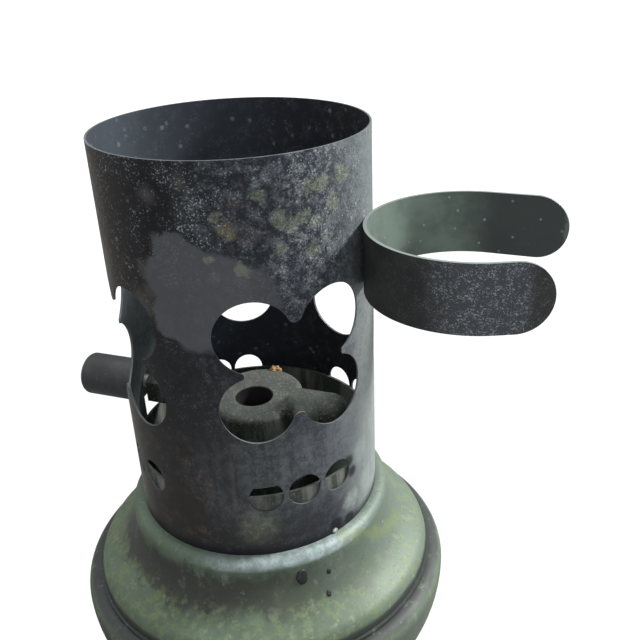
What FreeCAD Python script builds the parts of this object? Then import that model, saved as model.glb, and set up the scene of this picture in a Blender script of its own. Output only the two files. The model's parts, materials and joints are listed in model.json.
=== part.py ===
import FreeCAD, Part
import Sketcher
import math
import os
import re

# Brass kerosene pressure stove, in millimetres.
# Origin: centre of the tank's foot, on the surface it stands on. +Z is up.
# The windows of the windscreen face -Y, +X, +Y and -X. The valve knob points to azimuth 135 degrees
# and the spring clip to -45 degrees.

# Driving sizes, one plain number each
sizes = {
    # Tank: an upper pressing with a swept cove, soldered into a lower cup
    "tankHeight": 72.0,
    "sheetWall": 0.9,
    "solderGap": 0.05,
    "flatRadius": 38.7,
    "shoulderRadius": 3.15,
    "coveRadius": 17.7,
    "coveTurn": 64.3,
    "rimRadius": 5.6,
    "skirtDepth": 6.4,
    "seamGap": 1.0,
    "lipDepth": 1.2,
    "bellyBulge": 4.4,
    "bellyDrop": 4.2,
    "wallCurve": 38.0,
    "wallTurn": 62.0,
    "footEdge": 2.4,
    "footWidth": 7.0,
    "dishRise": 2.5,
    "dishRun": 4.0,
    # Riser bush, riser and pick-up tube on the axis
    "bushRadius": 8.0,
    "bushFlangeRadius": 12.0,
    "bushFlangeHeight": 3.0,
    "bushRise": 6.0,
    "bushDepth": 4.5,
    "riserRadius": 4.5,
    "riserBore": 3.2,
    "riserRise": 16.8,
    "pickupRadius": 2.4,
    "pickupBore": 1.7,
    "pickupOverlap": 8.0,
    "pickupFlange": 1.0,
    "strainerRadius": 4.2,
    "strainerHeight": 9.0,
    "strainerWall": 0.6,
    "strainerGap": 0.5,
    # Spirit cup round the riser
    "cupRadius": 24.0,
    "cupHeight": 8.0,
    "cupWall": 0.7,
    "cupLip": 1.4,
    # Collar that the windscreen is pushed over
    "collarHeight": 20.3,
    "collarWall": 0.8,
    "collarFlange": 6.0,
    # Windscreen: a plain pierced cylinder
    "screenRadius": 38.0,
    "screenWall": 0.6,
    "screenHeight": 116.0,
    "screenFit": 0.05,
    "windowRise": 59.6,
    "lobeRadius": 10.3,
    "lobeSpread": 11.4,
    "lobeRise": 10.55,
    "uprightPointTip": 13.5,
    "uprightPointRadius": 2.2,
    "levelPointTip": 14.0,
    "levelPointRadius": 1.2,
    "pointTurn": 65.0,
    "ventRadius": 4.95,
    "ventSpacing": 17.0,
    "slotRadius": 5.5,
    # Spring clip riveted to the windscreen
    "clipRadius": 27.5,
    "clipThickness": 0.9,
    "clipWidth": 18.2,
    "clipRise": 84.3,
    "clipReach": 23.2,
    "clipNearTurn": 68.0,
    "clipFarTurn": 88.0,
    "rivetRadius": 1.5,
    "rivetHeadRadius": 2.6,
    "rivetHeadHeight": 1.0,
    "rivetSink": 0.7,
    "rivetPitch": 8.0,
    # Burner casting, with the valve arm along its own +X
    "burnerRise": 13.5,
    "burnerHeight": 17.2,
    "drumRadius": 13.7,
    "drumEdge": 2.2,
    "neckRadius": 7.2,
    "neckFlare": 4.5,
    "throatRadius": 5.8,
    "throatDepth": 7.8,
    "throatEdge": 0.6,
    "jetWellRadius": 4.0,
    "jetWellDepth": 3.4,
    "valveDrop": 1.0,
    "armRadius": 6.2,
    "armLength": 27.5,
    "lugRadius": 5.4,
    "lugLength": 31.0,
    "heelShift": 4.6,
    "heelDepth": 10.5,
    "heelTaper": 4.0,
    # Jet, needle valve and gland
    "jetRadius": 1.5,
    "jetBore": 0.4,
    "jetHeadRadius": 2.8,
    "jetHeadHeight": 3.2,
    "spindleRadius": 2.5,
    "spindleTip": 9.6,
    "seatDepth": 2.6,
    "runningFit": 0.05,
    "boxRadius": 4.2,
    "packingLength": 4.0,
    "packingStart": 16.0,
    "glandHexRadius": 6.9,
    "glandHeadLength": 7.5,
    "glandGap": 0.5,
    # Knob outside the windscreen
    "knobRadius": 6.95,
    "knobGap": 2.5,
    "knobLength": 20.2,
    "knobEdge": 1.6,
    "knobSocket": 6.0,
    # Filler on the cove, behind the windscreen
    "fillerRadius": 4.6,
    "fillerBore": 3.6,
    "fillerReach": 48.7,
    "fillerDepth": 22.0,
    "fillerRise": 1.0,
    "gasketThickness": 1.0,
    "capRadius": 6.2,
    "capSkirt": 4.2,
    "capTop": 2.2,
    "airScrewRadius": 1.5,
    "airScrewLength": 7.0,
    "airHeadRadius": 3.2,
    "airHeadHeight": 3.0,
    "fluteRadius": 0.7,
    "fluteDepth": 0.35,
    "airFluteRadius": 0.5,
    # Pump through the back wall of the tank
    "pumpHeight": 24.0,
    "barrelRadius": 7.6,
    "barrelBore": 6.9,
    "barrelEnd": 19.5,
    "barrelFloor": 1.5,
    "barrelProud": 2.6,
    "pumpBushRadius": 9.5,
    "pumpBushDepth": 12.6,
    "pumpBushProud": 5.4,
    "pumpCapRadius": 11.2,
    "pumpCapGap": 1.2,
    "pumpCapFloor": 2.2,
    "rodRadius": 2.0,
    "leatherStart": 24.2,
    "leatherLength": 4.0,
    "leatherWall": 1.2,
    "backingRadius": 5.4,
    "backingThickness": 1.0,
    "leatherNutRadius": 3.6,
    "leatherNutLength": 2.2,
    "pumpKnobRadius": 9.0,
    "pumpKnobLength": 12.0,
    "pumpKnobGap": 1.5,
    "pumpKnobEdge": 1.8,
    # Non-return valve on the inner end of the pump barrel
    "nrvRadius": 3.8,
    "nrvLength": 7.4,
    "nrvChamber": 2.6,
    "nrvShank": 2.5,
    "nrvPort": 0.8,
    "nrvEndWall": 1.0,
    "nrvSeatWall": 3.0,
    "pipRadius": 2.2,
    "pipLength": 1.3,
    "springRadius": 1.6,
    "springWire": 0.3,
    "springTurns": 3.0,
}

# Lengths that follow from the driving sizes, as formulas over them
formulas = {
    "coveCentreX": "flatRadius + shoulderRadius + coveRadius",
    "coveCentreZ": "tankHeight - shoulderRadius",
    "coveEndX": "coveCentreX - coveRadius * cos(coveTurn)",
    "coveEndZ": "coveCentreZ - coveRadius * sin(coveTurn)",
    "rimCentreX": "coveEndX - rimRadius * cos(coveTurn)",
    "rimCentreZ": "coveEndZ - rimRadius * sin(coveTurn)",
    "skirtRadius": "rimCentreX + rimRadius",
    "lipInner": "skirtRadius + solderGap",
    "lipTop": "rimCentreZ - seamGap",
    "bellyRadius": "lipInner + sheetWall + bellyBulge",
    "bellyZ": "lipTop - lipDepth - bellyDrop",
    "bellyCurve": "(bellyBulge * bellyBulge + bellyDrop * bellyDrop) / (2 * bellyBulge)",
    "bellyCentreX": "bellyRadius - bellyCurve",
    "bellyInnerCurve": "bellyCurve - sheetWall",
    "lipReach": "bellyCentreX - lipInner",
    "lipBottom": "bellyZ + sqrt(bellyInnerCurve * bellyInnerCurve - lipReach * lipReach)",
    "wallCentreX": "bellyRadius - wallCurve",
    "footSide": "wallCentreX + wallCurve * cos(wallTurn)",
    "footTop": "bellyZ - wallCurve * sin(wallTurn)",
    "footOuter": "footSide - footEdge",
    "footInner": "footOuter - footWidth",
    "tankFloor": "dishRise + sheetWall",
    "screenInner": "screenRadius - screenWall",
    "screenTop": "tankHeight + screenHeight",
    "collarOuter": "screenInner - screenFit",
    "bushTop": "tankHeight + bushRise",
    "riserTop": "tankHeight + riserRise",
    "cupFloor": "bushTop",
    "burnerBase": "tankHeight + burnerRise",
    "burnerTop": "burnerBase + burnerHeight",
    "valveHeight": "burnerTop - valveDrop",
    "jetFloor": "burnerTop - throatDepth - jetWellDepth",
    "windowHeight": "tankHeight + windowRise",
    "ventHeight": "tankHeight + collarHeight",
    "lobeTurn": "lobeSpread / screenRadius * 180 / pi",
    "uprightPointCentre": "uprightPointTip + uprightPointRadius",
    "uprightPointWide": "uprightPointRadius * sin(pointTurn)",
    "uprightPointEnd": "uprightPointCentre - uprightPointRadius * cos(pointTurn)",
    "levelPointCentre": "levelPointTip + levelPointRadius",
    "levelPointWide": "levelPointRadius * sin(pointTurn)",
    "levelPointEnd": "levelPointCentre - levelPointRadius * cos(pointTurn)",
    "clipHeight": "tankHeight + clipRise",
    "clipInner": "clipRadius - clipThickness",
    "clipAxis": "screenRadius + clipRadius",
    "glandStart": "armLength + glandGap",
    "glandEnd": "glandStart + glandHeadLength",
    "packingEnd": "packingStart + packingLength",
    "spindleBore": "spindleRadius + runningFit",
    "knobInner": "screenRadius + knobGap",
    "knobOuter": "knobInner + knobLength",
    "fillerBottom": "tankHeight - fillerDepth",
    "fillerTop": "tankHeight + fillerRise",
    "gasketBottom": "fillerTop + runningFit",
    "gasketTop": "gasketBottom + gasketThickness",
    "capInnerTop": "gasketTop + runningFit",
    "capBottom": "capInnerTop - capSkirt",
    "capOuterTop": "capInnerTop + capTop",
    "barrelOuterEnd": "bellyRadius + barrelProud",
    "pumpBushEnd": "bellyRadius + pumpBushProud",
    "pumpCapStart": "bellyRadius + pumpCapGap",
    "pumpCapInner": "pumpBushEnd + pumpCapGap",
    "pumpCapEnd": "pumpCapInner + pumpCapFloor",
    "pumpKnobStart": "pumpCapEnd + pumpKnobGap",
    "nrvEnd": "barrelEnd - solderGap - nrvLength",
    "nrvSeat": "barrelEnd - solderGap - nrvSeatWall",
    "pipEnd": "nrvSeat - runningFit",
    "pipStart": "pipEnd - pipLength",
    "nrvFloor": "nrvEnd + nrvEndWall",
}

# Directions of the parts on the tank, in degrees from +X, and counts
valveAzimuth = 135
clipAzimuth = -45
fillerAzimuth = 45
pumpAzimuth = 90
windowAzimuth = -90
windowCount = 4
capFlutes = 18
airScrewFlutes = 12
pumpCapFlutes = 32

doc = FreeCAD.newDocument("pressure_stove")
sheet = doc.addObject("Spreadsheet::Sheet", "sizes")
for row, (name, value) in enumerate(sizes.items(), start=1):
    sheet.set(f"A{row}", name)
    sheet.set(f"B{row}", str(value))
    sheet.setAlias(f"B{row}", name)
doc.recompute()


# Formulas and their values

def bound(formula):
    def written(match):
        word = match.group(0)
        if word in sizes:
            return f"sizes.{word}"
        if word in formulas:
            return f"({bound(formulas[word])})"
        return word
    return re.sub(r"[A-Za-z]\w*", written, str(formula))


def number(formula):
    return float(sheet.evalExpression(bound(formula)))


def upright(azimuth=0, height="0", reach="0"):
    turn = FreeCAD.Rotation(FreeCAD.Vector(0, 0, 1), azimuth)
    place = turn.multVec(FreeCAD.Vector(number(reach), 0, 0))
    place.z = number(height)
    return FreeCAD.Placement(place, turn)


# A turned piece lying on a radius of the stove: its own Z axis points outwards
def radial(azimuth, height, start="0"):
    turn = FreeCAD.Rotation(FreeCAD.Vector(0, 0, 1), azimuth)
    tip = FreeCAD.Rotation(FreeCAD.Vector(0, 1, 0), 90)
    place = turn.multVec(FreeCAD.Vector(number(start), 0, 0))
    place.z = number(height)
    return FreeCAD.Placement(place, turn.multiply(tip))


# Bodies and sketches

pieces = []


def newBody(label, placement=None):
    body = doc.addObject("PartDesign::Body", label)
    body.Label = label
    if placement:
        body.Placement = placement
    pieces.append(body)
    return body


def originFeature(body, role):
    return next(feature for feature in body.Origin.OriginFeatures if feature.Role == role)


def newSketch(body, name, plane="XZ_Plane", offset=None, across=None):
    sketch = body.newObject("Sketcher::SketchObject", name)
    sketch.AttachmentSupport = [(originFeature(body, plane), "")]
    sketch.MapMode = "FlatFace"
    if offset:
        sketch.setExpression("AttachmentOffset.Base.y", bound(offset))
    if across:
        sketch.setExpression("AttachmentOffset.Base.x", bound(across))
    return sketch


# Adds one closed outline. A corner is (x, y), and the edge that leaves it is straight,
# or (x, y, centreX, centreY, sense), and the edge is an arc round that centre,
# with sense 1 anticlockwise and -1 clockwise.
def addOutline(sketch, corners):
    places = [FreeCAD.Vector(number(corner[0]), number(corner[1]), 0) for corner in corners]
    ends = []
    for index, corner in enumerate(corners):
        start = places[index]
        stop = places[(index + 1) % len(corners)]
        if len(corner) == 2:
            edge = sketch.addGeometry(Part.LineSegment(start, stop), False)
            ends.append((edge, 1, 2))
            continue
        centre = FreeCAD.Vector(number(corner[2]), number(corner[3]), 0)
        sense = corner[4]
        first, last = (start, stop) if sense > 0 else (stop, start)
        angles = [math.atan2(place.y - centre.y, place.x - centre.x) for place in (first, last)]
        circle = Part.Circle(centre, FreeCAD.Vector(0, 0, 1), (start - centre).Length)
        edge = sketch.addGeometry(Part.ArcOfCircle(circle, angles[0], angles[1]), False)
        ends.append((edge, 1, 2) if sense > 0 else (edge, 2, 1))
    for index, (edge, start, stop) in enumerate(ends):
        following = ends[(index + 1) % len(ends)]
        sketch.addConstraint(Sketcher.Constraint("Coincident", edge, stop, following[0], following[1]))
    for index, corner in enumerate(corners):
        edge, start, stop = ends[index]
        bindPoint(sketch, edge, start, "DistanceX", corner[0])
        bindPoint(sketch, edge, start, "DistanceY", corner[1])
        if len(corner) > 2:
            chord = places[(index + 1) % len(corners)] - places[index]
            if abs(chord.x) >= abs(chord.y):
                bindPoint(sketch, edge, 3, "DistanceY", corner[3])
            else:
                bindPoint(sketch, edge, 3, "DistanceX", corner[2])


def bindPoint(sketch, edge, point, kind, formula):
    constraint = sketch.addConstraint(Sketcher.Constraint(kind, -1, 1, edge, point, number(formula)))
    sketch.setExpression(f"Constraints[{constraint}]", bound(formula))


# A lathe-turned shape: the outline is (radius, height), spun round the sketch's upright axis,
# which is the body's Z axis unless the sketch is moved across
def turn(body, name, corners, cut=False, plane="XZ_Plane", across=None):
    sketch = newSketch(body, f"{name}Outline", plane, across=across)
    addOutline(sketch, corners)
    kind = "PartDesign::Groove" if cut else "PartDesign::Revolution"
    feature = body.newObject(kind, name)
    feature.Profile = sketch
    feature.ReferenceAxis = (sketch, ["V_Axis"])
    feature.Angle = 360
    doc.recompute()
    return feature


# The same round a level axis at a height: the outline is (distance along X, radius)
def turnLevel(body, name, corners, height, cut=False):
    sketch = newSketch(body, f"{name}Outline", offset=height)
    addOutline(sketch, corners)
    kind = "PartDesign::Groove" if cut else "PartDesign::Revolution"
    feature = body.newObject(kind, name)
    feature.Profile = sketch
    feature.ReferenceAxis = (sketch, ["H_Axis"])
    feature.Angle = 360
    doc.recompute()
    return feature


def tube(outer, inner, low, high):
    return [(inner, low), (outer, low), (outer, high), (inner, high)]


def rod(radius, low, high):
    return tube(radius, "0", low, high)


def drill(body, name, radius, length, placement):
    hole = body.newObject("PartDesign::SubtractiveCylinder", name)
    hole.setExpression("Radius", bound(radius))
    hole.setExpression("Height", bound(length))
    hole.Placement = placement
    doc.recompute()
    return hole


def roundEdges(body, name, radius, chosen):
    base = body.Tip
    names = [f"Edge{i}" for i, edge in enumerate(base.Shape.Edges, start=1) if chosen(edge)]
    if not names:
        raise ValueError(f"no edges found for {name} of {body.Label}")
    fillet = body.newObject("PartDesign::Fillet", name)
    fillet.Base = (base, names)
    fillet.setExpression("Radius", bound(radius))
    doc.recompute()
    return fillet


# Repeats a feature evenly round the body's Z axis
def repeatRound(body, feature, count):
    around = body.newObject("PartDesign::PolarPattern", f"{feature.Name}Round")
    around.Originals = [feature]
    around.Axis = (originFeature(body, "Z_Axis"), [""])
    around.Angle = 360
    around.Occurrences = count
    body.Tip = around
    doc.recompute()


# Grip flutes cut along the edge of a cap or screw head
def flutes(body, radius, edgeRadius, low, high, count):
    groove = drill(body, "gripFlute", radius, f"{high} - ({low})",
                   upright(0, low, f"{edgeRadius} + {radius} - fluteDepth"))
    repeatRound(body, groove, count)


# Chooses the full circles of a radius at a height on the body's Z axis
def circleAt(radius, height):
    wantedRadius = number(radius)
    wantedHeight = number(height)

    def chosen(edge):
        if edge.Degenerated or not isinstance(edge.Curve, Part.Circle):
            return False
        level = abs(edge.Curve.Center.z - wantedHeight) < 1e-4
        return level and abs(edge.Curve.Radius - wantedRadius) < 1e-4
    return chosen


# Tank: upper pressing

dome = newBody("tank_dome")
turn(dome, "domeSheet", [
    ("bushRadius + solderGap", "tankHeight"),
    ("bushRadius + solderGap", "tankHeight - sheetWall"),
    ("flatRadius", "tankHeight - sheetWall", "flatRadius", "coveCentreZ", -1),
    ("flatRadius + shoulderRadius - sheetWall", "coveCentreZ", "coveCentreX", "coveCentreZ", 1),
    ("coveCentreX - (coveRadius + sheetWall) * cos(coveTurn)",
     "coveCentreZ - (coveRadius + sheetWall) * sin(coveTurn)", "rimCentreX", "rimCentreZ", -1),
    ("skirtRadius - sheetWall", "rimCentreZ"),
    ("skirtRadius - sheetWall", "rimCentreZ - skirtDepth"),
    ("skirtRadius", "rimCentreZ - skirtDepth"),
    ("skirtRadius", "rimCentreZ", "rimCentreX", "rimCentreZ", 1),
    ("coveEndX", "coveEndZ", "coveCentreX", "coveCentreZ", -1),
    ("flatRadius + shoulderRadius", "coveCentreZ", "flatRadius", "coveCentreZ", 1),
    ("flatRadius", "tankHeight"),
])
drill(dome, "fillerHole", "fillerRadius + solderGap", "tankHeight",
      upright(fillerAzimuth, "0", "fillerReach"))

# Tank: lower cup, with a straight lip that the upper pressing's skirt is soldered into

cup = newBody("tank_cup")
turn(cup, "cupSheet", [
    ("lipInner", "lipTop"),
    ("lipInner", "lipBottom", "bellyCentreX", "bellyZ", -1),
    ("bellyRadius - sheetWall", "bellyZ", "wallCentreX", "bellyZ", -1),
    ("wallCentreX + (wallCurve - sheetWall) * cos(wallTurn)",
     "bellyZ - (wallCurve - sheetWall) * sin(wallTurn)"),
    ("footSide - sheetWall", "footTop"),
    ("footSide - sheetWall", "footEdge", "footOuter", "footEdge", -1),
    ("footOuter", "sheetWall"),
    ("footInner", "sheetWall"),
    ("footInner - dishRun", "tankFloor"),
    ("0", "tankFloor"),
    ("0", "dishRise"),
    ("footInner - dishRun", "dishRise"),
    ("footInner", "0"),
    ("footOuter", "0", "footOuter", "footEdge", 1),
    ("footSide", "footEdge"),
    ("footSide", "footTop", "wallCentreX", "bellyZ", 1),
    ("bellyRadius", "bellyZ", "bellyCentreX", "bellyZ", 1),
    ("lipInner + sheetWall", "lipTop - lipDepth"),
    ("lipInner + sheetWall", "lipTop"),
])
drill(cup, "pumpHole", "pumpBushRadius + solderGap", "bellyRadius",
      radial(pumpAzimuth, "pumpHeight", "footInner"))

# Riser bush: a threaded boss with a hexagon, soldered through the top of the tank

bush = newBody("riser_bush")
turn(bush, "bushBlank", tube("bushRadius", "riserRadius + solderGap", "tankHeight - bushDepth", "bushTop"))
hexagon = bush.newObject("PartDesign::AdditivePrism", "bushHexagon")
hexagon.Polygon = 6
hexagon.setExpression("Circumradius", bound("bushFlangeRadius"))
hexagon.setExpression("Height", bound("bushFlangeHeight"))
hexagon.Placement = upright(0, "tankHeight")
doc.recompute()
turn(bush, "bushBore", rod("riserRadius + solderGap", "tankHeight - bushDepth", "bushTop"), cut=True)

riser = newBody("riser_tube")
turn(riser, "riserTurning", tube("riserRadius", "riserBore", "tankHeight - bushDepth", "riserTop"))

pickup = newBody("pickup_tube")
turn(pickup, "pickupTurning", [
    ("pickupBore", "tankFloor + strainerWall + 2 * strainerGap"),
    ("pickupRadius", "tankFloor + strainerWall + 2 * strainerGap"),
    ("pickupRadius", "tankHeight - bushDepth - solderGap"),
    ("riserRadius", "tankHeight - bushDepth - solderGap - pickupFlange"),
    ("riserRadius", "tankHeight - bushDepth - solderGap"),
    ("riserBore - solderGap", "tankHeight - bushDepth - solderGap"),
    ("riserBore - solderGap", "tankHeight - bushDepth + pickupOverlap"),
    ("pickupBore", "tankHeight - bushDepth + pickupOverlap"),
])

strainer = newBody("pickup_strainer")
turn(strainer, "strainerCup", [
    ("0", "tankFloor + strainerGap"),
    ("strainerRadius", "tankFloor + strainerGap"),
    ("strainerRadius", "tankFloor + strainerGap + strainerHeight"),
    ("pickupRadius + solderGap", "tankFloor + strainerGap + strainerHeight"),
    ("pickupRadius + solderGap", "tankFloor + strainerGap + strainerHeight - strainerWall"),
    ("strainerRadius - strainerWall", "tankFloor + strainerGap + strainerHeight - strainerWall"),
    ("strainerRadius - strainerWall", "tankFloor + strainerGap + strainerWall"),
    ("0", "tankFloor + strainerGap + strainerWall"),
])

# Spirit cup for preheating, on the shoulder of the riser bush

spirit = newBody("spirit_cup")
turn(spirit, "spiritDish", [
    ("riserRadius + solderGap", "cupFloor"),
    ("cupRadius - cupHeight / 2", "cupFloor", "cupRadius - cupHeight / 2", "cupFloor + cupHeight / 2", 1),
    ("cupRadius", "cupFloor + cupHeight / 2"),
    ("cupRadius", "cupFloor + cupHeight - cupWall"),
    ("cupRadius + cupLip", "cupFloor + cupHeight - cupWall"),
    ("cupRadius + cupLip", "cupFloor + cupHeight"),
    ("cupRadius - cupWall", "cupFloor + cupHeight"),
    ("cupRadius - cupWall", "cupFloor + cupHeight / 2",
     "cupRadius - cupHeight / 2", "cupFloor + cupHeight / 2", -1),
    ("cupRadius - cupHeight / 2", "cupFloor + cupWall"),
    ("riserRadius + solderGap", "cupFloor + cupWall"),
])

# Collar soldered on the tank, which the windscreen is pushed over

collar = newBody("windscreen_collar")
turn(collar, "collarTurning", [
    ("collarOuter - collarFlange", "tankHeight"),
    ("collarOuter", "tankHeight"),
    ("collarOuter", "tankHeight + collarHeight"),
    ("collarOuter - collarWall", "tankHeight + collarHeight"),
    ("collarOuter - collarWall", "tankHeight + collarWall"),
    ("collarOuter - collarFlange", "tankHeight + collarWall"),
])

# Windscreen: quatrefoil windows and three round vents below each, pierced through the wall

screen = newBody("windscreen")
turn(screen, "screenSheet", tube("screenRadius", "screenInner", "tankHeight", "screenTop"))
throughWall = "screenRadius"
wallStart = "screenRadius / 2"
lobeStep = number("lobeTurn")
for side in (-1, 1):
    for level in (-1, 1):
        name = f"lobe{'Left' if side < 0 else 'Right'}{'Low' if level < 0 else 'High'}"
        place = radial(windowAzimuth + side * lobeStep, f"windowHeight + {level} * lobeRise", wallStart)
        repeatRound(screen, drill(screen, name, "lobeRadius", throughWall, place), windowCount)

# The heart of a window joins its lobes and leaves a rounded point between each two
heartSketch = newSketch(screen, "windowHeartOutline")
addOutline(heartSketch, [
    ("uprightPointWide", "windowHeight + uprightPointEnd", "0", "windowHeight + uprightPointCentre", -1),
    ("-uprightPointWide", "windowHeight + uprightPointEnd"),
    ("-levelPointEnd", "windowHeight + levelPointWide", "-levelPointCentre", "windowHeight", -1),
    ("-levelPointEnd", "windowHeight - levelPointWide"),
    ("-uprightPointWide", "windowHeight - uprightPointEnd", "0", "windowHeight - uprightPointCentre", -1),
    ("uprightPointWide", "windowHeight - uprightPointEnd"),
    ("levelPointEnd", "windowHeight - levelPointWide", "levelPointCentre", "windowHeight", -1),
    ("levelPointEnd", "windowHeight + levelPointWide"),
])
heart = screen.newObject("PartDesign::Pocket", "windowHeart")
heart.Profile = heartSketch
heart.setExpression("Length", bound("screenRadius + screenWall"))
heart.Reversed = True
doc.recompute()
repeatRound(screen, heart, windowCount)
for step in (-1, 0, 1):
    azimuth = windowAzimuth + step * number("ventSpacing")
    vent = drill(screen, f"vent{step + 2}", "ventRadius", throughWall, radial(azimuth, "ventHeight", wallStart))
    repeatRound(screen, vent, windowCount)

# Slot, open at the foot, that lets the windscreen drop over the valve spindle
drill(screen, "slotEnd", "slotRadius", throughWall, radial(valveAzimuth, "valveHeight", wallStart))
slot = screen.newObject("PartDesign::SubtractiveBox", "slotOpening")
slot.setExpression("Length", bound(throughWall))
slot.setExpression("Width", bound("2 * slotRadius"))
slot.setExpression("Height", bound("valveHeight - tankHeight + screenWall"))
slotTurn = FreeCAD.Rotation(FreeCAD.Vector(0, 0, 1), valveAzimuth)
slotCorner = slotTurn.multVec(FreeCAD.Vector(number(wallStart), -number("slotRadius"), 0))
slotCorner.z = number("tankHeight - screenWall")
slot.Placement = FreeCAD.Placement(slotCorner, slotTurn)
doc.recompute()
for side in (-1, 1):
    name = "rivetHoleLow" if side < 0 else "rivetHoleHigh"
    place = radial(clipAzimuth, f"clipHeight + {side} * rivetPitch / 2", wallStart)
    drill(screen, name, "rivetRadius + solderGap", throughWall, place)


# Spring clip: one band, rolled to a ring that touches the windscreen, with arms that run out straight.
# Its own +X points away from the windscreen.


def armCorners(sense, turnAngle):
    departX = f"cos({turnAngle})"
    departY = f"{sense} * sin({turnAngle})"
    length = f"(clipReach - clipRadius * {departX}) / sin({turnAngle})"
    endX = "clipReach"
    endY = f"clipRadius * {departY} - {sense} * {length} * cos({turnAngle})"
    return {
        "outer": (f"clipRadius * {departX}", f"clipRadius * {departY}"),
        "inner": (f"clipInner * {departX}", f"clipInner * {departY}"),
        "tipOuter": (endX, endY),
        "tipInner": (f"{endX} - clipThickness * {departX}", f"{endY} - clipThickness * {departY}"),
    }


clip = newBody("spring_clip", upright(clipAzimuth, "clipHeight", "clipAxis"))
near = armCorners(-1, "clipNearTurn")
far = armCorners(1, "clipFarTurn")
clipSketch = newSketch(clip, "clipOutline", plane="XY_Plane")
addOutline(clipSketch, [
    near["tipOuter"],
    near["outer"] + ("0", "0", -1),
    far["outer"],
    far["tipOuter"],
    far["tipInner"],
    far["inner"] + ("0", "0", 1),
    near["inner"],
    near["tipInner"],
])
band = clip.newObject("PartDesign::Pad", "clipBand")
band.Profile = clipSketch
band.setExpression("Length", bound("clipWidth"))
band.Midplane = True
doc.recompute()


def bandTip(edge):
    level = abs(abs(edge.CenterOfMass.z) - number("clipWidth / 2")) < 1e-4
    return level and edge.Length < number("clipThickness * 1.1") and edge.CenterOfMass.x > number("clipReach - 2")


roundEdges(clip, "roundedTips", "clipWidth / 2 - solderGap", bandTip)
for side in (-1, 1):
    name = "rivetHoleLow" if side < 0 else "rivetHoleHigh"
    place = radial(180, f"{side} * rivetPitch / 2", "clipInner - clipThickness")
    place.Base.x = -number("clipInner - clipThickness")
    drill(clip, name, "rivetRadius + solderGap", "3 * clipThickness", place)
    sink = clip.newObject("PartDesign::SubtractiveCone", f"{name}Sink")
    sink.setExpression("Radius1", bound("rivetHeadRadius + solderGap"))
    sink.setExpression("Radius2", bound("rivetRadius + solderGap"))
    sink.setExpression("Height", bound("rivetSink"))
    sink.Placement = place
    sink.Placement.Base.x = -number("clipInner")
    doc.recompute()

# Two rivets hold the clip: sunk flush inside its ring, with a domed head inside the windscreen

screenHead = "sqrt(screenInner * screenInner - rivetHeadRadius * rivetHeadRadius)"


def rivetShape():
    radius = number("rivetRadius")
    head = number("rivetHeadRadius")
    height = number("rivetHeadHeight")
    sink = number("rivetSink")
    inner = number(screenHead)
    outer = number("screenRadius + clipThickness")
    shank = Part.makeCylinder(radius, outer - inner, FreeCAD.Vector(0, 0, inner))
    sunk = Part.makeCone(radius, head, sink, FreeCAD.Vector(0, 0, outer - sink))
    domeRadius = (head * head + height * height) / (2 * height)
    ball = Part.makeSphere(domeRadius, FreeCAD.Vector(0, 0, inner - height + domeRadius))
    domed = ball.common(Part.makeCylinder(head, height, FreeCAD.Vector(0, 0, inner - height)))
    return shank.fuse([sunk, domed]).removeSplitter()


rivets = doc.addObject("Part::Feature", "clip_rivets")
rivets.Label = "clip_rivets"
copies = []
for side in (-1, 1):
    copy = rivetShape()
    copy.Placement = radial(clipAzimuth, f"clipHeight + {side} * rivetPitch / 2")
    copies.append(copy)
rivets.Shape = Part.makeCompound(copies)
pieces.append(rivets)

# Burner casting: a drum on the riser, a valve arm, a blind lug opposite and a heel behind

burner = newBody("burner_body", upright(valveAzimuth))
turn(burner, "drum", [
    ("0", "burnerBase"),
    ("neckRadius", "burnerBase"),
    ("drumRadius", "burnerBase + neckFlare"),
    ("drumRadius", "burnerTop - drumEdge", "drumRadius - drumEdge", "burnerTop - drumEdge", 1),
    ("drumRadius - drumEdge", "burnerTop"),
    ("0", "burnerTop"),
])
turnLevel(burner, "arms", [
    ("armLength", "0"),
    ("armLength", "armRadius"),
    ("0", "armRadius"),
    ("0", "lugRadius"),
    ("lugRadius - lugLength", "lugRadius", "lugRadius - lugLength", "0", 1),
    ("-lugLength", "0"),
], "valveHeight")
turn(burner, "heel", [
    ("0", "burnerTop - heelDepth"),
    ("drumRadius - heelTaper", "burnerTop - heelDepth"),
    ("drumRadius", "burnerTop - heelDepth + heelTaper"),
    ("drumRadius", "burnerTop - drumEdge", "drumRadius - drumEdge", "burnerTop - drumEdge", 1),
    ("drumRadius - drumEdge", "burnerTop"),
    ("0", "burnerTop"),
], plane="YZ_Plane", across="-heelShift")
turn(burner, "spotFace", rod("drumRadius + runningFit", "burnerTop", "burnerTop + 2 * armRadius"), cut=True)
turn(burner, "throat", rod("throatRadius", "burnerTop - throatDepth", "burnerTop + armRadius"), cut=True)
turn(burner, "jetWell", rod("jetWellRadius", "jetFloor", "burnerTop"), cut=True)
turn(burner, "riserSocket", rod("riserRadius + solderGap", "burnerBase", "riserTop + solderGap"), cut=True)
turn(burner, "jetHole", rod("jetRadius + solderGap", "riserTop", "burnerTop"), cut=True)
turnLevel(burner, "valveBore", [
    ("spindleTip", "0"),
    ("spindleTip + seatDepth", "spindleBore"),
    ("packingStart - solderGap", "spindleBore"),
    ("packingStart - solderGap", "boxRadius + solderGap"),
    ("armLength", "boxRadius + solderGap"),
    ("armLength", "0"),
], "valveHeight", cut=True)
roundEdges(burner, "throatEdgeRound", "throatEdge", circleAt("throatRadius", "burnerTop"))

# Jet, screwed into the floor of the well under the throat

jet = newBody("jet_nipple")
turn(jet, "jetTurning", [
    ("jetBore", "riserTop + 2 * solderGap"),
    ("jetRadius", "riserTop + 2 * solderGap"),
    ("jetRadius", "jetFloor + solderGap"),
    ("jetHeadRadius", "jetFloor + solderGap"),
    ("jetHeadRadius", "jetFloor + jetHeadHeight / 2"),
    ("jetHeadRadius / 2", "jetFloor + jetHeadHeight"),
    ("jetBore", "jetFloor + jetHeadHeight"),
])

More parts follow.
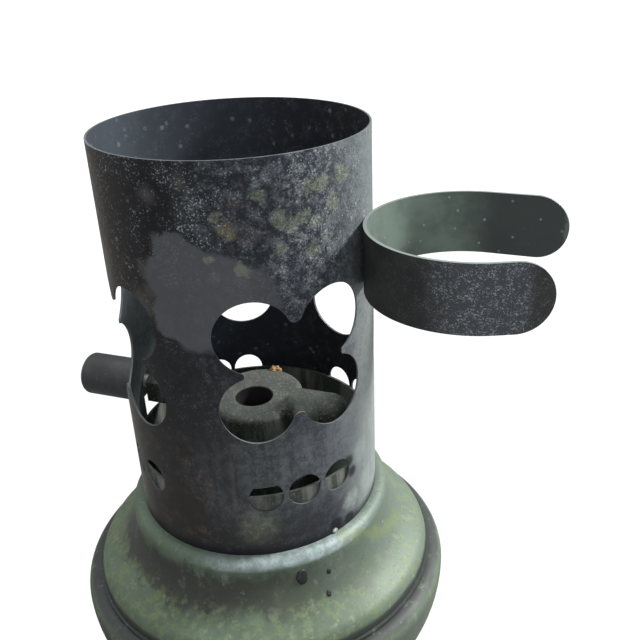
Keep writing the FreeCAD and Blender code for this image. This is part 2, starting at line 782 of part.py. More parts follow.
# Packing and gland nut in the valve arm

packing = newBody("gland_packing", radial(valveAzimuth, "valveHeight"))
turn(packing, "packingRing", tube("boxRadius", "spindleBore", "packingStart", "packingEnd"))

gland = newBody("gland_nut", radial(valveAzimuth, "valveHeight"))
head = gland.newObject("PartDesign::AdditivePrism", "glandHexagon")
head.Polygon = 6
head.setExpression("Circumradius", bound("glandHexRadius"))
head.setExpression("Height", bound("glandHeadLength"))
head.Placement = upright(0, "glandStart")
doc.recompute()
turn(gland, "glandShank", rod("boxRadius", "packingEnd + solderGap", "glandStart + glandGap"))
turn(gland, "glandBore", rod("spindleBore", "packingEnd - solderGap", "glandEnd + glandGap"), cut=True)

# Needle spindle, and the knob on its end

spindle = newBody("valve_spindle", radial(valveAzimuth, "valveHeight"))
turn(spindle, "spindleTurning", [
    ("0", "spindleTip + 2 * runningFit"),
    ("spindleRadius", "spindleTip + seatDepth + 2 * runningFit"),
    ("spindleRadius", "knobInner + knobSocket - runningFit"),
    ("0", "knobInner + knobSocket - runningFit"),
])

knob = newBody("control_knob", radial(valveAzimuth, "valveHeight"))
turn(knob, "knobTurning", [
    ("spindleBore", "knobInner"),
    ("knobRadius - knobEdge", "knobInner", "knobRadius - knobEdge", "knobInner + knobEdge", 1),
    ("knobRadius", "knobInner + knobEdge"),
    ("knobRadius", "knobOuter - knobEdge", "knobRadius - knobEdge", "knobOuter - knobEdge", 1),
    ("knobRadius - knobEdge", "knobOuter"),
    ("0", "knobOuter"),
    ("0", "knobInner + knobSocket"),
    ("spindleBore", "knobInner + knobSocket"),
])

# Filler neck, its screw cap and gasket, and the air screw in the cap

fillerPlace = upright(fillerAzimuth, "0", "fillerReach")
neck = newBody("filler_neck", fillerPlace)
turn(neck, "neckTurning", tube("fillerRadius", "fillerBore", "fillerBottom", "fillerTop"))

gasket = newBody("filler_gasket", fillerPlace)
turn(gasket, "gasketRing", tube("fillerRadius - runningFit", "airScrewRadius + runningFit",
                                "gasketBottom", "gasketTop"))

cap = newBody("filler_cap", fillerPlace)
turn(cap, "capTurning", [
    ("fillerRadius + runningFit", "capBottom"),
    ("capRadius", "capBottom"),
    ("capRadius", "capOuterTop - capTop / 2", "capRadius - capTop / 2", "capOuterTop - capTop / 2", 1),
    ("capRadius - capTop / 2", "capOuterTop"),
    ("airScrewRadius + runningFit", "capOuterTop"),
    ("airScrewRadius + runningFit", "capInnerTop"),
    ("fillerRadius + runningFit", "capInnerTop"),
])
flutes(cap, "fluteRadius", "capRadius", "capBottom", "capOuterTop - capTop / 2", capFlutes)

airScrew = newBody("air_screw", fillerPlace)
turn(airScrew, "airScrewTurning", [
    ("0", "capOuterTop + runningFit - airScrewLength"),
    ("airScrewRadius", "capOuterTop + runningFit - airScrewLength + airScrewRadius"),
    ("airScrewRadius", "capOuterTop + runningFit"),
    ("airHeadRadius", "capOuterTop + runningFit"),
    ("airHeadRadius", "capOuterTop + airHeadHeight"),
    ("0", "capOuterTop + airHeadHeight"),
])
flutes(airScrew, "airFluteRadius", "airHeadRadius", "capOuterTop", "capOuterTop + airHeadHeight", airScrewFlutes)

# Pump: barrel in a bush soldered through the back of the tank, screw cap, rod and cup leather

pumpPlace = radial(pumpAzimuth, "pumpHeight")
pumpBush = newBody("pump_bush", pumpPlace)
turn(pumpBush, "pumpBushTurning", tube("pumpBushRadius", "barrelRadius + solderGap",
                                       "bellyRadius - pumpBushDepth", "pumpBushEnd"))

barrel = newBody("pump_barrel", pumpPlace)
turn(barrel, "barrelTurning", [
    ("nrvShank + solderGap", "barrelEnd"),
    ("barrelRadius", "barrelEnd"),
    ("barrelRadius", "barrelOuterEnd"),
    ("barrelBore", "barrelOuterEnd"),
    ("barrelBore", "barrelEnd + barrelFloor"),
    ("nrvShank + solderGap", "barrelEnd + barrelFloor"),
])

pumpCap = newBody("pump_cap", pumpPlace)
turn(pumpCap, "pumpCapTurning", [
    ("pumpBushRadius + solderGap", "pumpCapStart"),
    ("pumpCapRadius", "pumpCapStart"),
    ("pumpCapRadius", "pumpCapEnd"),
    ("rodRadius + runningFit", "pumpCapEnd"),
    ("rodRadius + runningFit", "pumpCapInner"),
    ("pumpBushRadius + solderGap", "pumpCapInner"),
])
flutes(pumpCap, "fluteRadius", "pumpCapRadius", "pumpCapStart", "pumpCapEnd", pumpCapFlutes)

rodBody = newBody("pump_rod", pumpPlace)
turn(rodBody, "rodTurning", rod("rodRadius", "leatherStart - leatherNutLength", "pumpKnobStart + pumpKnobLength / 2"))

pumpKnob = newBody("pump_knob", pumpPlace)
turn(pumpKnob, "pumpKnobTurning", [
    ("rodRadius + solderGap", "pumpKnobStart"),
    ("pumpKnobRadius - pumpKnobEdge", "pumpKnobStart"),
    ("pumpKnobRadius", "pumpKnobStart + pumpKnobLength - 2 * pumpKnobEdge"),
    ("pumpKnobRadius", "pumpKnobStart + pumpKnobLength - pumpKnobEdge",
     "pumpKnobRadius - pumpKnobEdge", "pumpKnobStart + pumpKnobLength - pumpKnobEdge", 1),
    ("pumpKnobRadius - pumpKnobEdge", "pumpKnobStart + pumpKnobLength"),
    ("0", "pumpKnobStart + pumpKnobLength"),
    ("0", "pumpKnobStart + pumpKnobLength / 2 + solderGap"),
    ("rodRadius + solderGap", "pumpKnobStart + pumpKnobLength / 2 + solderGap"),
])

leather = newBody("pump_leather", pumpPlace)
turn(leather, "leatherCup", [
    ("rodRadius + solderGap", "leatherStart + leatherLength - leatherWall"),
    ("barrelBore - runningFit - leatherWall", "leatherStart + leatherLength - leatherWall"),
    ("barrelBore - runningFit - leatherWall", "leatherStart"),
    ("barrelBore - runningFit", "leatherStart"),
    ("barrelBore - runningFit", "leatherStart + leatherLength"),
    ("rodRadius + solderGap", "leatherStart + leatherLength"),
])

backing = newBody("leather_backing", pumpPlace)
turn(backing, "backingDisc", tube("backingRadius", "rodRadius + solderGap",
                                  "leatherStart + leatherLength + solderGap",
                                  "leatherStart + leatherLength + solderGap + backingThickness"))

leatherNut = newBody("leather_nut", pumpPlace)
nutBlank = leatherNut.newObject("PartDesign::AdditivePrism", "nutHexagon")
nutBlank.Polygon = 6
nutBlank.setExpression("Circumradius", bound("leatherNutRadius"))
nutBlank.setExpression("Height", bound("leatherNutLength"))
nutBlank.Placement = upright(0, "leatherStart + leatherLength - leatherWall - solderGap - leatherNutLength")
doc.recompute()
turn(leatherNut, "nutBore", rod("rodRadius + solderGap", "leatherStart - leatherNutLength",
                                "leatherStart + leatherLength"), cut=True)

# Non-return valve: body, rubber pip and the spring behind it

nrv = newBody("nrv_body", pumpPlace)
turn(nrv, "nrvTurning", [
    ("nrvPort", "nrvEnd"),
    ("nrvRadius", "nrvEnd"),
    ("nrvRadius", "nrvEnd + nrvLength"),
    ("nrvShank", "nrvEnd + nrvLength"),
    ("nrvShank", "barrelEnd + barrelFloor"),
    ("nrvPort", "barrelEnd + barrelFloor"),
    ("nrvPort", "nrvSeat"),
    ("nrvChamber", "nrvSeat"),
    ("nrvChamber", "nrvFloor"),
    ("nrvPort", "nrvFloor"),
])

pip = newBody("nrv_pip", pumpPlace)
turn(pip, "pipDisc", rod("pipRadius", "pipStart", "pipEnd"))


def springShape():
    radius = number("springRadius")
    wire = number("springWire")
    clearance = number("runningFit")
    low = number("nrvFloor") + wire + clearance
    high = number("pipStart") - wire - clearance
    helix = Part.makeHelix((high - low) / number("springTurns"), high - low, radius)
    helix.translate(FreeCAD.Vector(0, 0, low))
    start = FreeCAD.Vector(radius, 0, low)
    section = Part.Wire(Part.makeCircle(wire, start, FreeCAD.Vector(0, 1, 0)))
    return Part.Wire(helix).makePipeShell([section], True, True)


spring = doc.addObject("Part::Feature", "nrv_spring")
spring.Label = "nrv_spring"
spring.Shape = springShape()
spring.Placement = pumpPlace
pieces.append(spring)

# Checks on the document, then one file for each piece

doc.recompute()
faults = []
for item in doc.Objects:
    if "Invalid" in item.State or "Error" in item.State:
        faults.append(f"{item.Label} is {item.State}")
for piece in pieces:
    if piece.Shape.isNull() or not piece.Shape.isValid() or not piece.Shape.Solids:
        faults.append(f"{piece.Label} has no valid shape")
if faults:
    raise RuntimeError("; ".join(faults))

os.makedirs("parts", exist_ok=True)
for piece in pieces:
    piece.Shape.exportStep(f"parts/{piece.Label}.step")
    box = piece.Shape.BoundBox
    print(f"{piece.Label}: {len(piece.Shape.Solids)} solid, {piece.Shape.Volume:.1f} mm3, "
          f"z {box.ZMin:.2f} to {box.ZMax:.2f}")
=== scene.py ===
import bpy
import json
import math
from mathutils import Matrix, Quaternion, Vector


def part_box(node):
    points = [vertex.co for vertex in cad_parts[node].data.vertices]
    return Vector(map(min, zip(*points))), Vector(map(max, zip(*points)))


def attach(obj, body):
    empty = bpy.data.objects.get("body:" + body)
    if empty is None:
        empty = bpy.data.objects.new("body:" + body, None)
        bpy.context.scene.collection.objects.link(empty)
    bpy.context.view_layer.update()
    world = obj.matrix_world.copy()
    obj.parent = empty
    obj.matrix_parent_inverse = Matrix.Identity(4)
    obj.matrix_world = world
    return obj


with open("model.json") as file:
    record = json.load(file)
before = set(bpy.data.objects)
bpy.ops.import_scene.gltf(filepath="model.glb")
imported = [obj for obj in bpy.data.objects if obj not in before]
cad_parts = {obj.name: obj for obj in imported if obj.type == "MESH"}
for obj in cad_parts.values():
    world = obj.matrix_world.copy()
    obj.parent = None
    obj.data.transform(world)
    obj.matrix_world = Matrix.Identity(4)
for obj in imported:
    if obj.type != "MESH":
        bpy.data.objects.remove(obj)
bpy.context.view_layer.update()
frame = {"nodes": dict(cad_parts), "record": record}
nodes = frame["nodes"]
print("stove loaded:", len(nodes), "nodes")

# Places on the stove, in metres; azimuths are in degrees, apart from the clip's

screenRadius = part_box("windscreen")[1].x
viewAzimuth = -108.5
clipReach = 0.0655
clipAzimuth = math.radians(-45)


def onScreen(azimuth, height, radius=screenRadius):
    turn = math.radians(azimuth)
    return Vector((radius * math.cos(turn), radius * math.sin(turn), height))


# Camera

camera = {
    "place": (-0.0671, -0.2004, 0.2322),
    "looks": (0.3712, 0.8161, -0.4431),
    "roll": -0.043,
    "lens": 43.72,
    "sensor": 36.0,
    "clip": (0.005, 80),
}


def makeCamera():
    bpy.ops.object.camera_add(location=camera["place"])
    eye = bpy.context.object
    eye.name = "photoCamera"
    eye.data.lens = camera["lens"]
    eye.data.sensor_width = camera["sensor"]
    eye.data.clip_start, eye.data.clip_end = camera["clip"]
    eye.rotation_mode = "QUATERNION"
    aim = Vector(camera["looks"]).to_track_quat("-Z", "Y")
    eye.rotation_quaternion = aim @ Quaternion((0, 0, 1), camera["roll"])
    bpy.context.scene.camera = eye


makeCamera()
print("camera set")

# Light and floor

studio = {
    "worldStrength": 0.20,
    "glossyShare": 0.30,
    "floorSize": 60.0,
    "floorColour": (0.30, 0.30, 0.30, 1),
    "floorGlow": 1.23,
    "floorNearShare": 0.80,
    "floorNear": 0.15,
    "floorFar": 0.60,
    "floorRough": 0.9,
    "lamps": {
        "keyLamp": {"place": (0.50, -0.12, 0.50), "aim": (0, 0, 0.10), "size": 0.12, "power": 7.5,
                    "colour": (1.0, 0.99, 0.97)},
        "skyLamp": {"place": (0.05, 0.25, 0.95), "aim": (0, 0, 0.10), "size": 0.60, "power": 4.5,
                    "colour": (0.90, 0.95, 1.0)},
        "backLamp": {"place": (-0.70, 0.50, 0.55), "aim": (0, 0, 0.09), "size": 0.80, "power": 2.4,
                     "colour": (1.0, 0.98, 0.95)},
        "frontLamp": {"place": (-0.25, -0.75, 0.62), "aim": (0, 0, 0.09), "size": 0.70, "power": 4.0,
                      "colour": (1.0, 1.0, 1.0)},
    },
}


def makeLamp(name, lamp):
    bpy.ops.object.light_add(type="AREA", location=lamp["place"])
    light = bpy.context.object
    light.name = name
    light.data.size = lamp["size"]
    light.data.energy = lamp["power"]
    light.data.color = lamp["colour"]
    away = Vector(lamp["aim"]) - Vector(lamp["place"])
    light.rotation_mode = "QUATERNION"
    light.rotation_quaternion = away.to_track_quat("-Z", "Y")


for name, lamp in studio["lamps"].items():
    makeLamp(name, lamp)


# Shader maths: a Wire is one output socket, so a sum of wires adds its own Math nodes


class Wire:
    def __init__(self, finish, socket):
        self.finish = finish
        self.socket = socket

    def maths(self, operation, *values):
        return self.finish.node("ShaderNodeMath", {"operation": operation}, dict(enumerate(values)))

    def __add__(self, other):
        return self.maths("ADD", self, other)

    def __radd__(self, other):
        return self.maths("ADD", other, self)

    def __sub__(self, other):
        return self.maths("SUBTRACT", self, other)

    def __rsub__(self, other):
        return self.maths("SUBTRACT", other, self)

    def __mul__(self, other):
        return self.maths("MULTIPLY", self, other)

    def __rmul__(self, other):
        return self.maths("MULTIPLY", other, self)

    def __truediv__(self, other):
        return self.maths("DIVIDE", self, other)

    def __abs__(self):
        return self.maths("ABSOLUTE", self)

    def most(self, other):
        return self.maths("MAXIMUM", self, other)

    def step(self, low, high):
        return self.finish.node("ShaderNodeMapRange", {"interpolation_type": "SMOOTHSTEP"},
                                {"Value": self, "From Min": low, "From Max": high})

    # 1 between two values, with edges that are soft to both sides
    def band(self, low, high, soft):
        return self.step(low - soft, low + soft) * (1 - self.step(high - soft, high + soft))


# Of a dot, how much is solid; of a patch, where its outer edge ends; and how square to the
# wall a surface has to be before it is no cut edge
dotCore = 0.6
patchEnd = 1.1
squareToWall = (0.35, 0.80)
leastLength = 0.0001


# A Finish is one material. Its look names the tones and, for the noises that mark the surface:
#   noises  scale, detail and roughness, with a shift or a stretch of the place
#   grains  scale of cells that fill the surface, each with a random value
#   sways   the noise that moves a limit to and fro, and how far
#   steps   from where to where a value rises to 1
#   bands   between which values a share is 1, and how soft the edges are
#   blends  the parts of a mixture of noises
#   floors  the least that is left of a share
#   fades   how much of a share another one takes away
#   coats   the tone of a layer and how thickly it covers
class Finish:
    def __init__(self, name, look=None):
        self.look = look or {}
        self.material = bpy.data.materials.new(name)
        self.material.use_nodes = True
        self.tree = self.material.node_tree
        self.shader = self.tree.nodes["Principled BSDF"]
        self.place = self.node("ShaderNodeTexCoord", {}, {}, "Object")
        facing = self.node("ShaderNodeTexCoord", {}, {}, "Normal")
        self.x, self.y, self.z = self.parts(self.place)
        self.normalX, self.normalY, self.normalZ = self.parts(facing)
        self.noises = {key: self.noise(**noise) for key, noise in self.look.get("noises", {}).items()}
        for key, scale in self.look.get("grains", {}).items():
            self.noises[key] = self.grains(scale)

    def node(self, kind, settings=None, inputs=None, output=0):
        made = self.tree.nodes.new(kind)
        for name, value in (settings or {}).items():
            setattr(made, name, value)
        for key, value in (inputs or {}).items():
            if isinstance(value, Wire):
                self.tree.links.new(value.socket, made.inputs[key])
            else:
                made.inputs[key].default_value = value
        return Wire(self, made.outputs[output])

    def vector(self, operation, first, second, output="Vector"):
        return self.node("ShaderNodeVectorMath", {"operation": operation}, {0: first, 1: second}, output)

    def parts(self, vector):
        made = self.node("ShaderNodeSeparateXYZ", {}, {0: vector})
        outputs = made.socket.node.outputs
        return [Wire(self, outputs[i]) for i in range(3)]

    def noise(self, scale, detail, roughness, shift=0.0, stretch=None):
        at = self.place
        if stretch:
            at = self.vector("MULTIPLY", at, stretch)
        if shift:
            at = self.vector("ADD", at, (shift, shift, shift))
        return self.node("ShaderNodeTexNoise", {},
                         {"Vector": at, "Scale": scale, "Detail": detail, "Roughness": roughness}, "Fac")

    def grains(self, scale):
        colour = self.node("ShaderNodeTexVoronoi", {}, {"Vector": self.place, "Scale": scale}, "Color")
        return self.parts(colour)[0]

    def dots(self, scale, size):
        gap = self.node("ShaderNodeTexVoronoi", {}, {"Vector": self.place, "Scale": scale}, "Distance")
        return 1 - gap.step(size * dotCore, size)

    # A soft patch round a point, with an edge that a noise makes uneven
    def patch(self, point, radius, uneven, ragged, soft):
        gap = self.vector("DISTANCE", self.place, tuple(point), "Value") + (ragged - 0.5) * uneven
        return 1 - gap.step(radius * (1 - soft), radius * patchEnd)

    # Distance from the stove's own axis
    def reach(self):
        flat = self.vector("MULTIPLY", self.place, (1, 1, 0))
        return self.node("ShaderNodeVectorMath", {"operation": "LENGTH"}, {0: flat}, "Value")

    # Angle round the stove's axis in degrees, 0 at the azimuth and growing anticlockwise
    def around(self, azimuth):
        turn = math.radians(azimuth)
        ahead = self.x * math.cos(turn) + self.y * math.sin(turn)
        across = self.y * math.cos(turn) - self.x * math.sin(turn)
        return across.maths("ARCTAN2", across, ahead) * (180 / math.pi)

    # 1 on the cut edges of an upright sheet: its rims, and the walls of its holes
    def cutEdge(self, centreX=0, centreY=0):
        awayX = self.x - centreX
        awayY = self.y - centreY
        length = awayX.maths("SQRT", awayX * awayX + awayY * awayY).most(leastLength)
        square = abs((self.normalX * awayX + self.normalY * awayY) / length)
        return 1 - square.step(*squareToWall)

    def step(self, value, name):
        return value.step(*self.look["steps"][name])

    def band(self, value, name):
        return value.band(*self.look["bands"][name])

    def sway(self, value, name):
        noise, reach = self.look["sways"][name]
        return value + (self.noises[noise] - 0.5) * reach

    def floor(self, share, name):
        least = self.look["floors"][name]
        return least + share * (1 - least)

    def fade(self, share, name):
        return 1 - share * self.look["fades"][name]

    def blend(self, name, start=0):
        total = start
        for noise, weight in self.look["blends"][name].items():
            total = total + self.noises[noise] * weight
        return total

    def blendStep(self, name):
        return self.step(self.blend(name), name)

    def mix(self, share, first, second):
        return self.node("ShaderNodeMix", {"data_type": "RGBA"}, {0: share, 6: first, 7: second}, 2)

    def coat(self, colour, share, name):
        shade, thick = self.look["coats"][name]
        return self.mix(share * thick, colour, self.look["tones"][shade])

    def paint(self, colour, roughness, metallic):
        for name, value in {"Base Color": colour, "Roughness": roughness, "Metallic": metallic}.items():
            if isinstance(value, Wire):
                self.tree.links.new(value.socket, self.shader.inputs[name])
            else:
                self.shader.inputs[name].default_value = value

    def relief(self):
        depth, strength = self.look["relief"]
        bump = self.node("ShaderNodeBump", {}, {"Strength": strength, "Distance": depth,
                                                "Height": self.blend("relief")}, "Normal")
        self.tree.links.new(bump.socket, self.shader.inputs["Normal"])


def tone(red, green, blue):
    return (red, green, blue, 1)


# Windscreen: brass under soot, with pale dust, verdigris blotches and bright cut edges; a painted sheen
# along the left edge, a painted pale reflection down the right side, and painted light and shade on the
# inside

sootLook = {
    "tones": {
        "black": tone(0.0062, 0.0068, 0.0098),
        "dark": tone(0.0150, 0.0160, 0.0205),
        "brown": tone(0.0280, 0.0240, 0.0210),
        # The sheen tone paints a reflection along the left edge, and also colours the patches at the
        # back and the grey patches
        "sheen": tone(0.2300, 0.2150, 0.1900),
        "lowBrown": tone(0.0300, 0.0300, 0.0300),
        "rusty": tone(0.0620, 0.0480, 0.0400),
        "slate": tone(0.0230, 0.0270, 0.0400),
        "stain": tone(0.0780, 0.0830, 0.0920),
        # The pale tone paints the reflection down the right side, and also the pale spots low down
        "pale": tone(0.3100, 0.3500, 0.3380),
        "dust": tone(0.3100, 0.3500, 0.3650),
        "mist": tone(0.1300, 0.1500, 0.1640),
        "verdigris": tone(0.2400, 0.2700, 0.1900),
        "rose": tone(0.1700, 0.1450, 0.1500),
        "ochre": tone(0.2700, 0.2200, 0.1150),
        "edge": tone(0.1500, 0.1620, 0.1680),
        "inside": tone(0.0230, 0.0290, 0.0390),
        # Painted light and painted shade on the inside, and painted light low down
        "insideLit": tone(0.0460, 0.0570, 0.0700),
        "insideShade": tone(0.0080, 0.0090, 0.0125),
        "insideLowLight": tone(0.1250, 0.1500, 0.1560),
        "insideDust": tone(0.1700, 0.2050, 0.2350),
    },
    "noises": {
        "clouds": {"scale": 60, "detail": 5, "roughness": 0.62},
        "fine": {"scale": 430, "detail": 4, "roughness": 0.65},
        "grain": {"scale": 1500, "detail": 4, "roughness": 0.8},
        "ragged": {"scale": 210, "detail": 5, "roughness": 0.7, "shift": 0.3},
        "runs": {"scale": 1.0, "detail": 4, "roughness": 0.6, "stretch": (420, 420, 40)},
    },
    "grains": {"coarse": 2300, "crisp": 3900},
    "sways": {
        "wavy": ("clouds", 44), "brown": ("clouds", 18), "low": ("clouds", 0.03),
        "sheen": ("ragged", 14), "paleReflection": ("clouds", 16), "paleSideEdge": ("ragged", 16),
        "haze": ("clouds", 40), "hazeHeight": ("clouds", 0.012), "foot": ("ragged", 0.003),
        "insideLit": ("clouds", 24),
    },
    "steps": {
        "wall": (screenRadius - 0.00035, screenRadius - 0.00025), "dark": (0.36, 0.66),
        "low": (0.094, 0.150), "high": (0.100, 0.160), "sheenGrain": (0.40, 0.62),
        "paleGrain": (0.36, 0.60), "back": (100, 130), "backPatches": (0.46, 0.60),
        "paleSpotGrain": (0.38, 0.60), "haze": (0.43, 0.58), "rustyHeight": (0.095, 0.125),
        "rusty": (0.47, 0.60), "stainRight": (-4, 22), "dustRight": (46, 78), "cover": (0.40, 0.62),
        "bloom": (0.45, 0.58), "grit": (0.52, 0.90), "gritGrain": (0.40, 0.62),
        "blotches": (1.16, 1.56), "pits": (0.10, 0.32), "cluster": (0.46, 0.58), "specks": (0.90, 0.96),
        "speckGrain": (0.42, 0.56), "upper": (0.135, 0.168), "scattered": (0.88, 0.98),
        "foot": (0.0725, 0.0765), "inside": (10, 110), "insideLit": (28, 62),
        "insideLowLight": (0.136, 0.150), "insideLowTurn": (24, 44), "insideLowGrain": (0.38, 0.60),
        "insideDots": (0.42, 0.60), "insideMist": (0.48, 0.62), "insideSpecks": (0.93, 0.97),
        "insideRagged": (0.45, 0.6),
    },
    "bands": {
        "slate": (0, 120, 20), "brown": (-120, -46, 16), "lowBrown": (-120, 29, 17),
        "sheen": (-96, -70, 14), "paleReflection": (46, 108, 19), "haze": (-14, 64, 24),
        "hazeHeight": (0.084, 0.112, 0.008), "rusty": (-70, -14, 14), "dusty": (-4, 110, 30),
    },
    "blends": {
        "backPatches": {"ragged": 0.6, "clouds": 0.4},
        "haze": {"runs": 0.35, "fine": 0.35, "grain": 0.30}, "rusty": {"ragged": 0.5, "fine": 0.5},
        "cover": {"clouds": 0.30, "fine": 0.30, "ragged": 0.40},
        "bloom": {"fine": 0.45, "grain": 0.30, "ragged": 0.25}, "grit": {"crisp": 0.55, "coarse": 0.45},
        "blotches": {"fine": 1.2, "grain": 0.5}, "cluster": {"ragged": 0.6, "clouds": 0.4},
        "insideMist": {"fine": 0.6, "ragged": 0.4}, "relief": {"grain": 0.5, "fine": 0.5},
    },
    "floors": {
        "sheen": 0.5, "paleReflection": 0.70, "paleSpots": 0.55, "haze": 0.30, "dusty": 0.20, "bloom": 0.35,
        "blotches": 0.45, "ochre": 0.35, "rose": 0.2, "thick": 0.25, "speckDust": 0.70,
        "speckCluster": 0.3, "upper": 0.2, "insideLowLight": 0.5,
    },
    "fades": {
        "paleReflection": 0.45, "stainRight": 0.7, "dustRight": 0.7, "mistOnStain": 0.8, "stainMist": 0.3,
        "dustOnStain": 0.72,
    },
    "coats": {
        "dark": ("dark", 1), "slate": ("slate", 1), "brown": ("brown", 0.8),
        "lowBrown": ("lowBrown", 0.6), "sheen": ("sheen", 0.9), "paleReflection": ("pale", 0.95),
        "back": ("sheen", 0.35), "grey": ("sheen", 0.22), "paleSpots": ("pale", 0.9),
        "haze": ("mist", 0.70), "rusty": ("rusty", 0.7), "stain": ("stain", 1), "mist": ("mist", 1),
        "stainMist": ("mist", 0.22), "blotches": ("verdigris", 0.9), "ochre": ("ochre", 1),
        "rose": ("rose", 1), "pits": ("black", 0.6), "dust": ("dust", 1), "footPatch": ("verdigris", 1),
        "footBrown": ("brown", 0.6), "blackSpots": ("black", 0.9), "foot": ("black", 0.85),
        "edge": ("edge", 0.5), "inside": ("inside", 1), "insideLowLight": ("insideLowLight", 1),
        "insideDots": ("insideDust", 0.5), "insideMist": ("insideLit", 0.3),
        "insideSpecks": ("insideDust", 0.3),
    },
    "spots": {
        "grey": {"uneven": 0.006, "soft": 0.9, "places": [
            (-142.0, 0.1795, 0.0034), (-128.0, 0.1830, 0.0028), (-148.5, 0.1600, 0.0034),
            (-146.0, 0.1540, 0.0040), (-140.0, 0.1690, 0.0024), (-152.0, 0.1500, 0.0060)]},
        "pale": {"uneven": 0.006, "soft": 0.6, "places": [
            (-56.8, 0.0947, 0.0050), (-51.0, 0.0817, 0.0050), (-64.2, 0.0805, 0.0042),
            (-55.9, 0.0724, 0.0030)]},
        "stain": {"uneven": 0.006, "soft": 0.12, "places": [
            (-134.5, 0.1652, 0.0056), (-137.0, 0.1590, 0.0070), (-128.5, 0.1605, 0.0072),
            (-118.5, 0.1575, 0.0080), (-127.0, 0.1500, 0.0110), (-111.5, 0.1525, 0.0105),
            (-136.5, 0.1480, 0.0070)]},
        "blotches": {"uneven": 0.006, "soft": 0.9, "places": [
            (-93.2, 0.1722, 0.0056), (-88.6, 0.1698, 0.0046), (-84.2, 0.1726, 0.0040),
            (-108.2, 0.1608, 0.0040), (-120.4, 0.1640, 0.0020), (-78.6, 0.1700, 0.0040),
            (-82.0, 0.1795, 0.0046), (-76.6, 0.1790, 0.0040), (-81.0, 0.1630, 0.0044),
            (-74.5, 0.1655, 0.0034), (-70.5, 0.1740, 0.0046), (-94.5, 0.1650, 0.0030),
            (-117.0, 0.1748, 0.0022), (-100.5, 0.1795, 0.0030), (-66.0, 0.1800, 0.0050)]},
        "ochre": {"uneven": 0.003, "soft": 0.6, "places": [
            (-113.4, 0.1716, 0.0024), (-111.9, 0.1703, 0.0018)]},
        "rose": {"uneven": 0.004, "soft": 0.8, "places": [
            (-119.3, 0.1597, 0.0020), (-109.8, 0.1778, 0.0020), (-105.2, 0.1700, 0.0034)]},
        "black": {"uneven": 0.003, "soft": 0.6, "places": [
            (-65.7, 0.0944, 0.0026), (-63.7, 0.0900, 0.0026), (-66.7, 0.0740, 0.0026),
            (-75.2, 0.0748, 0.0028)]},
        "footPatch": {"uneven": 0.007, "soft": 0.8, "places": [(-111.5, 0.0822, 0.0078)]},
        "footBrown": {"uneven": 0.012, "soft": 0.25, "noise": "clouds", "places": [
            (-147.0, 0.0880, 0.0085)]},
    },
    "blotchWeight": 0.7,
    "dustShares": {"grit": 0.70, "specks": 0.9, "scattered": 0.8},
    "footPatchBase": 0.22,
    "footPatchBloom": 0.3,
    "insideDots": (230, 0.20),
    "insideAzimuths": {"dark": 0, "lit": 168, "low": 148},
    "roughness": {"base": 0.50, "dust": 0.2, "fine": 0.14, "stain": 0.06},
    "metallic": {"base": 0.25, "dust": 0.2},
    "gloss": 0.30,
    "relief": (0.00010, 0.6),
}


def sootSpots(soot, name):
    look = soot.look["spots"][name]
    ragged = soot.noises[look.get("noise", "ragged")]
    share = soot.z * 0
    for azimuth, height, radius in look["places"]:
        place = onScreen(azimuth, height)
        share = share.most(soot.patch(place, radius, look["uneven"], ragged, look["soft"]))
    return share


# From left to right: a painted brown sheen along the left edge, black, slate and a pale side of painted
# reflection, which ends in patches at the back
def sootGround(soot, angle, wavy):
    clouds, fine = soot.noises["clouds"], soot.noises["fine"]
    colour = soot.coat(soot.look["tones"]["black"], soot.step(clouds, "dark"), "dark")
    colour = soot.coat(colour, soot.band(wavy, "slate"), "slate")
    colour = soot.coat(colour, soot.band(soot.sway(angle, "brown"), "brown"), "brown")
    low = 1 - soot.step(soot.sway(soot.z, "low"), "low")
    colour = soot.coat(colour, low * soot.band(angle, "lowBrown"), "lowBrown")
    # Painted reflection: a grainy brown sheen along the left edge
    sheen = soot.band(soot.sway(angle, "sheen"), "sheen")
    sheen = sheen * soot.floor(soot.step(fine, "sheenGrain"), "sheen")
    colour = soot.coat(colour, sheen, "sheen")
    # Painted reflection: a pale, grainy band down the right side, weaker high up
    paleReflection = soot.band(soot.sway(soot.sway(angle, "paleSideEdge"), "paleReflection"), "paleReflection")
    paleReflection = paleReflection * soot.floor(soot.step(fine, "paleGrain"), "paleReflection")
    colour = soot.coat(colour, paleReflection * soot.fade(soot.step(soot.z, "high"), "paleReflection"), "paleReflection")
    colour = soot.coat(colour, soot.step(abs(angle), "back") * soot.blendStep("backPatches"), "back")
    colour = soot.coat(colour, sootSpots(soot, "grey"), "grey")
    paleSpots = sootSpots(soot, "pale") * soot.floor(soot.step(fine, "paleSpotGrain"), "paleSpots")
    colour = soot.coat(colour, paleSpots, "paleSpots")
    haze = soot.band(soot.sway(angle, "haze"), "haze")
    haze = haze * soot.band(soot.sway(soot.z, "hazeHeight"), "hazeHeight")
    colour = soot.coat(colour, haze * soot.floor(soot.blendStep("haze"), "haze"), "haze")
    rusty = soot.band(angle, "rusty") * (1 - soot.step(soot.z, "rustyHeight")) * soot.blendStep("rusty")
    return soot.coat(colour, rusty, "rusty")


